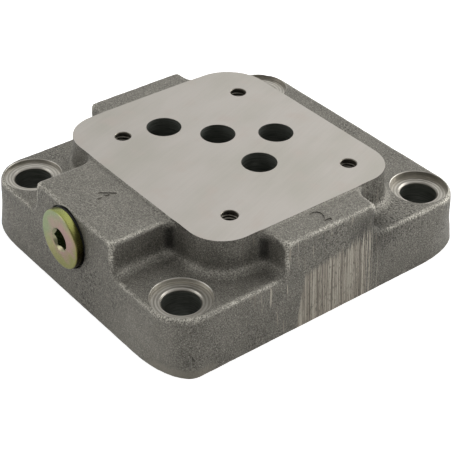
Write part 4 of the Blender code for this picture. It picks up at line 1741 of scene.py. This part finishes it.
@dataclass
class Studio:
    """The pale floor, the white surroundings, the lamps and the camera at the photograph's angle.

    The surroundings are white to the camera. They light the part weakly, more from behind, and its
    reflections are brighter behind and to the right. A slope is given by the shares of its direction, from
    and to, and by what it gives there.
    """

    floor_radius: float = 2.5
    floor_drop: float = 0.02 * MM
    behind: Spot = (-0.782, 0.623, 0.0)
    rightward: Spot = (0.616, 0.787, 0.0)
    ambient: tuple[float, float, float, float] = (-0.6, 0.4, 0.06, 0.42)
    mirrored: tuple[float, float, float, float] = (-0.7, 0.1, 0.3, 1.0)
    mirrored_right: tuple[float, float, float, float] = (-0.2, 0.2, 0.76, 1.20)
    camera_place: Spot = (0.27853, -0.22128, 0.25443)
    camera_right: Spot = (0.616238, 0.787466, 0.012190)
    camera_up: Spot = (-0.461873, 0.348819, 0.815474)
    camera_back: Spot = (0.637906, -0.508157, 0.578665)
    lens: float = 108.482
    clip_start: float = 0.01
    lamps: tuple[SoftBox, ...] = (
        SoftBox("left_softbox", (-0.72, -1.19, 0.59), 0.86, 3.6),
        SoftBox("right_softbox", (0.26, 0.76, 0.36), 0.5, 2.9),
        SoftBox("back_softbox", (-0.60, 0.48, 0.50), 0.6, 4.4, mirrored=False),
        SoftBox("top_softbox", (0.30, -0.20, 0.78), 0.3, 0.3),
    )

    def build(self) -> None:
        """Sets up the whole studio."""
        self.build_floor()
        self.build_world()
        self.build_camera()
        for lamp in self.lamps:
            lamp.build()
        bpy.context.scene.view_settings.view_transform = "Standard"

    def build_floor(self) -> None:
        """A wide white sweep that keeps the part's soft shadow."""
        bm = bmesh.new()
        bmesh.ops.create_circle(bm, cap_ends=True, segments=Facets.FINE, radius=self.floor_radius)
        mesh = bpy.data.meshes.new("floor")
        bm.to_mesh(mesh)
        bm.free()
        mesh.materials.append(WhitePaper().build())
        floor = new_object("floor", mesh)
        floor.location.z = -self.floor_drop

    def build_world(self) -> None:
        """White to the camera and in reflections, and a weak even light on the part."""
        world = bpy.data.worlds.new("studio")
        bpy.context.scene.world = world
        world.use_nodes = True
        tree = world.node_tree
        direction = add_node(tree, Node.PLACE, output="Generated")
        backward = add_node(tree, Node.ALONG, direction, self.behind)
        rightward = add_node(tree, Node.ALONG, direction, self.rightward)
        light = add_node(tree, Node.SLOPE, backward, *self.ambient)
        mirrored = add_node(tree, Node.TIMES, add_node(tree, Node.SLOPE, backward, *self.mirrored),
                            add_node(tree, Node.SLOPE, rightward, *self.mirrored_right))
        rays = add_node(tree, Node.RAY).node.outputs
        indirect = add_node(tree, Node.CHOICE, rays["Is Glossy Ray"], light, mirrored)
        direct = add_node(tree, Node.LARGER, rays["Is Camera Ray"], rays["Is Transmission Ray"])
        strength = add_node(tree, Node.CHOICE, direct, indirect, 1.0)
        background = tree.nodes["Background"]
        background.inputs["Color"].default_value = (1.0, 1.0, 1.0, 1.0)
        tree.links.new(strength, background.inputs["Strength"])

    def build_camera(self) -> None:
        """The camera where the photograph's stood."""
        data = bpy.data.cameras.new("camera")
        data.lens = self.lens
        data.clip_start = self.clip_start
        camera = bpy.data.objects.new("camera", data)
        turn = Matrix((self.camera_right, self.camera_up, self.camera_back)).transposed().to_4x4()
        camera.matrix_world = Matrix.Translation(self.camera_place) @ turn
        bpy.context.scene.collection.objects.link(camera)
        bpy.context.scene.camera = camera


def main() -> None:
    """Builds the looks of every piece, then the studio."""
    logging.basicConfig(level=logging.INFO)
    surfaces = {
        Surface.CAST: SandCastIron().build(),
        Surface.GROUND: GroundIron().build(),
        Surface.TURNED: TurnedIron().build(),
        Surface.BORED: BoredIron().build(),
        Surface.TAPPED: BoredIron(Surface.TAPPED, oily="#5C584F", bare="#8E897E", metallic=0.8,
                                  roughness=0.35).build(),
        Surface.MILLED: MilledIron().build(),
    }
    Casting().build(surfaces)
    ScrewPlug().build(YellowZinc().build(), BlackRubber().build())
    Studio().build()


if __name__ == "__main__":
    main()
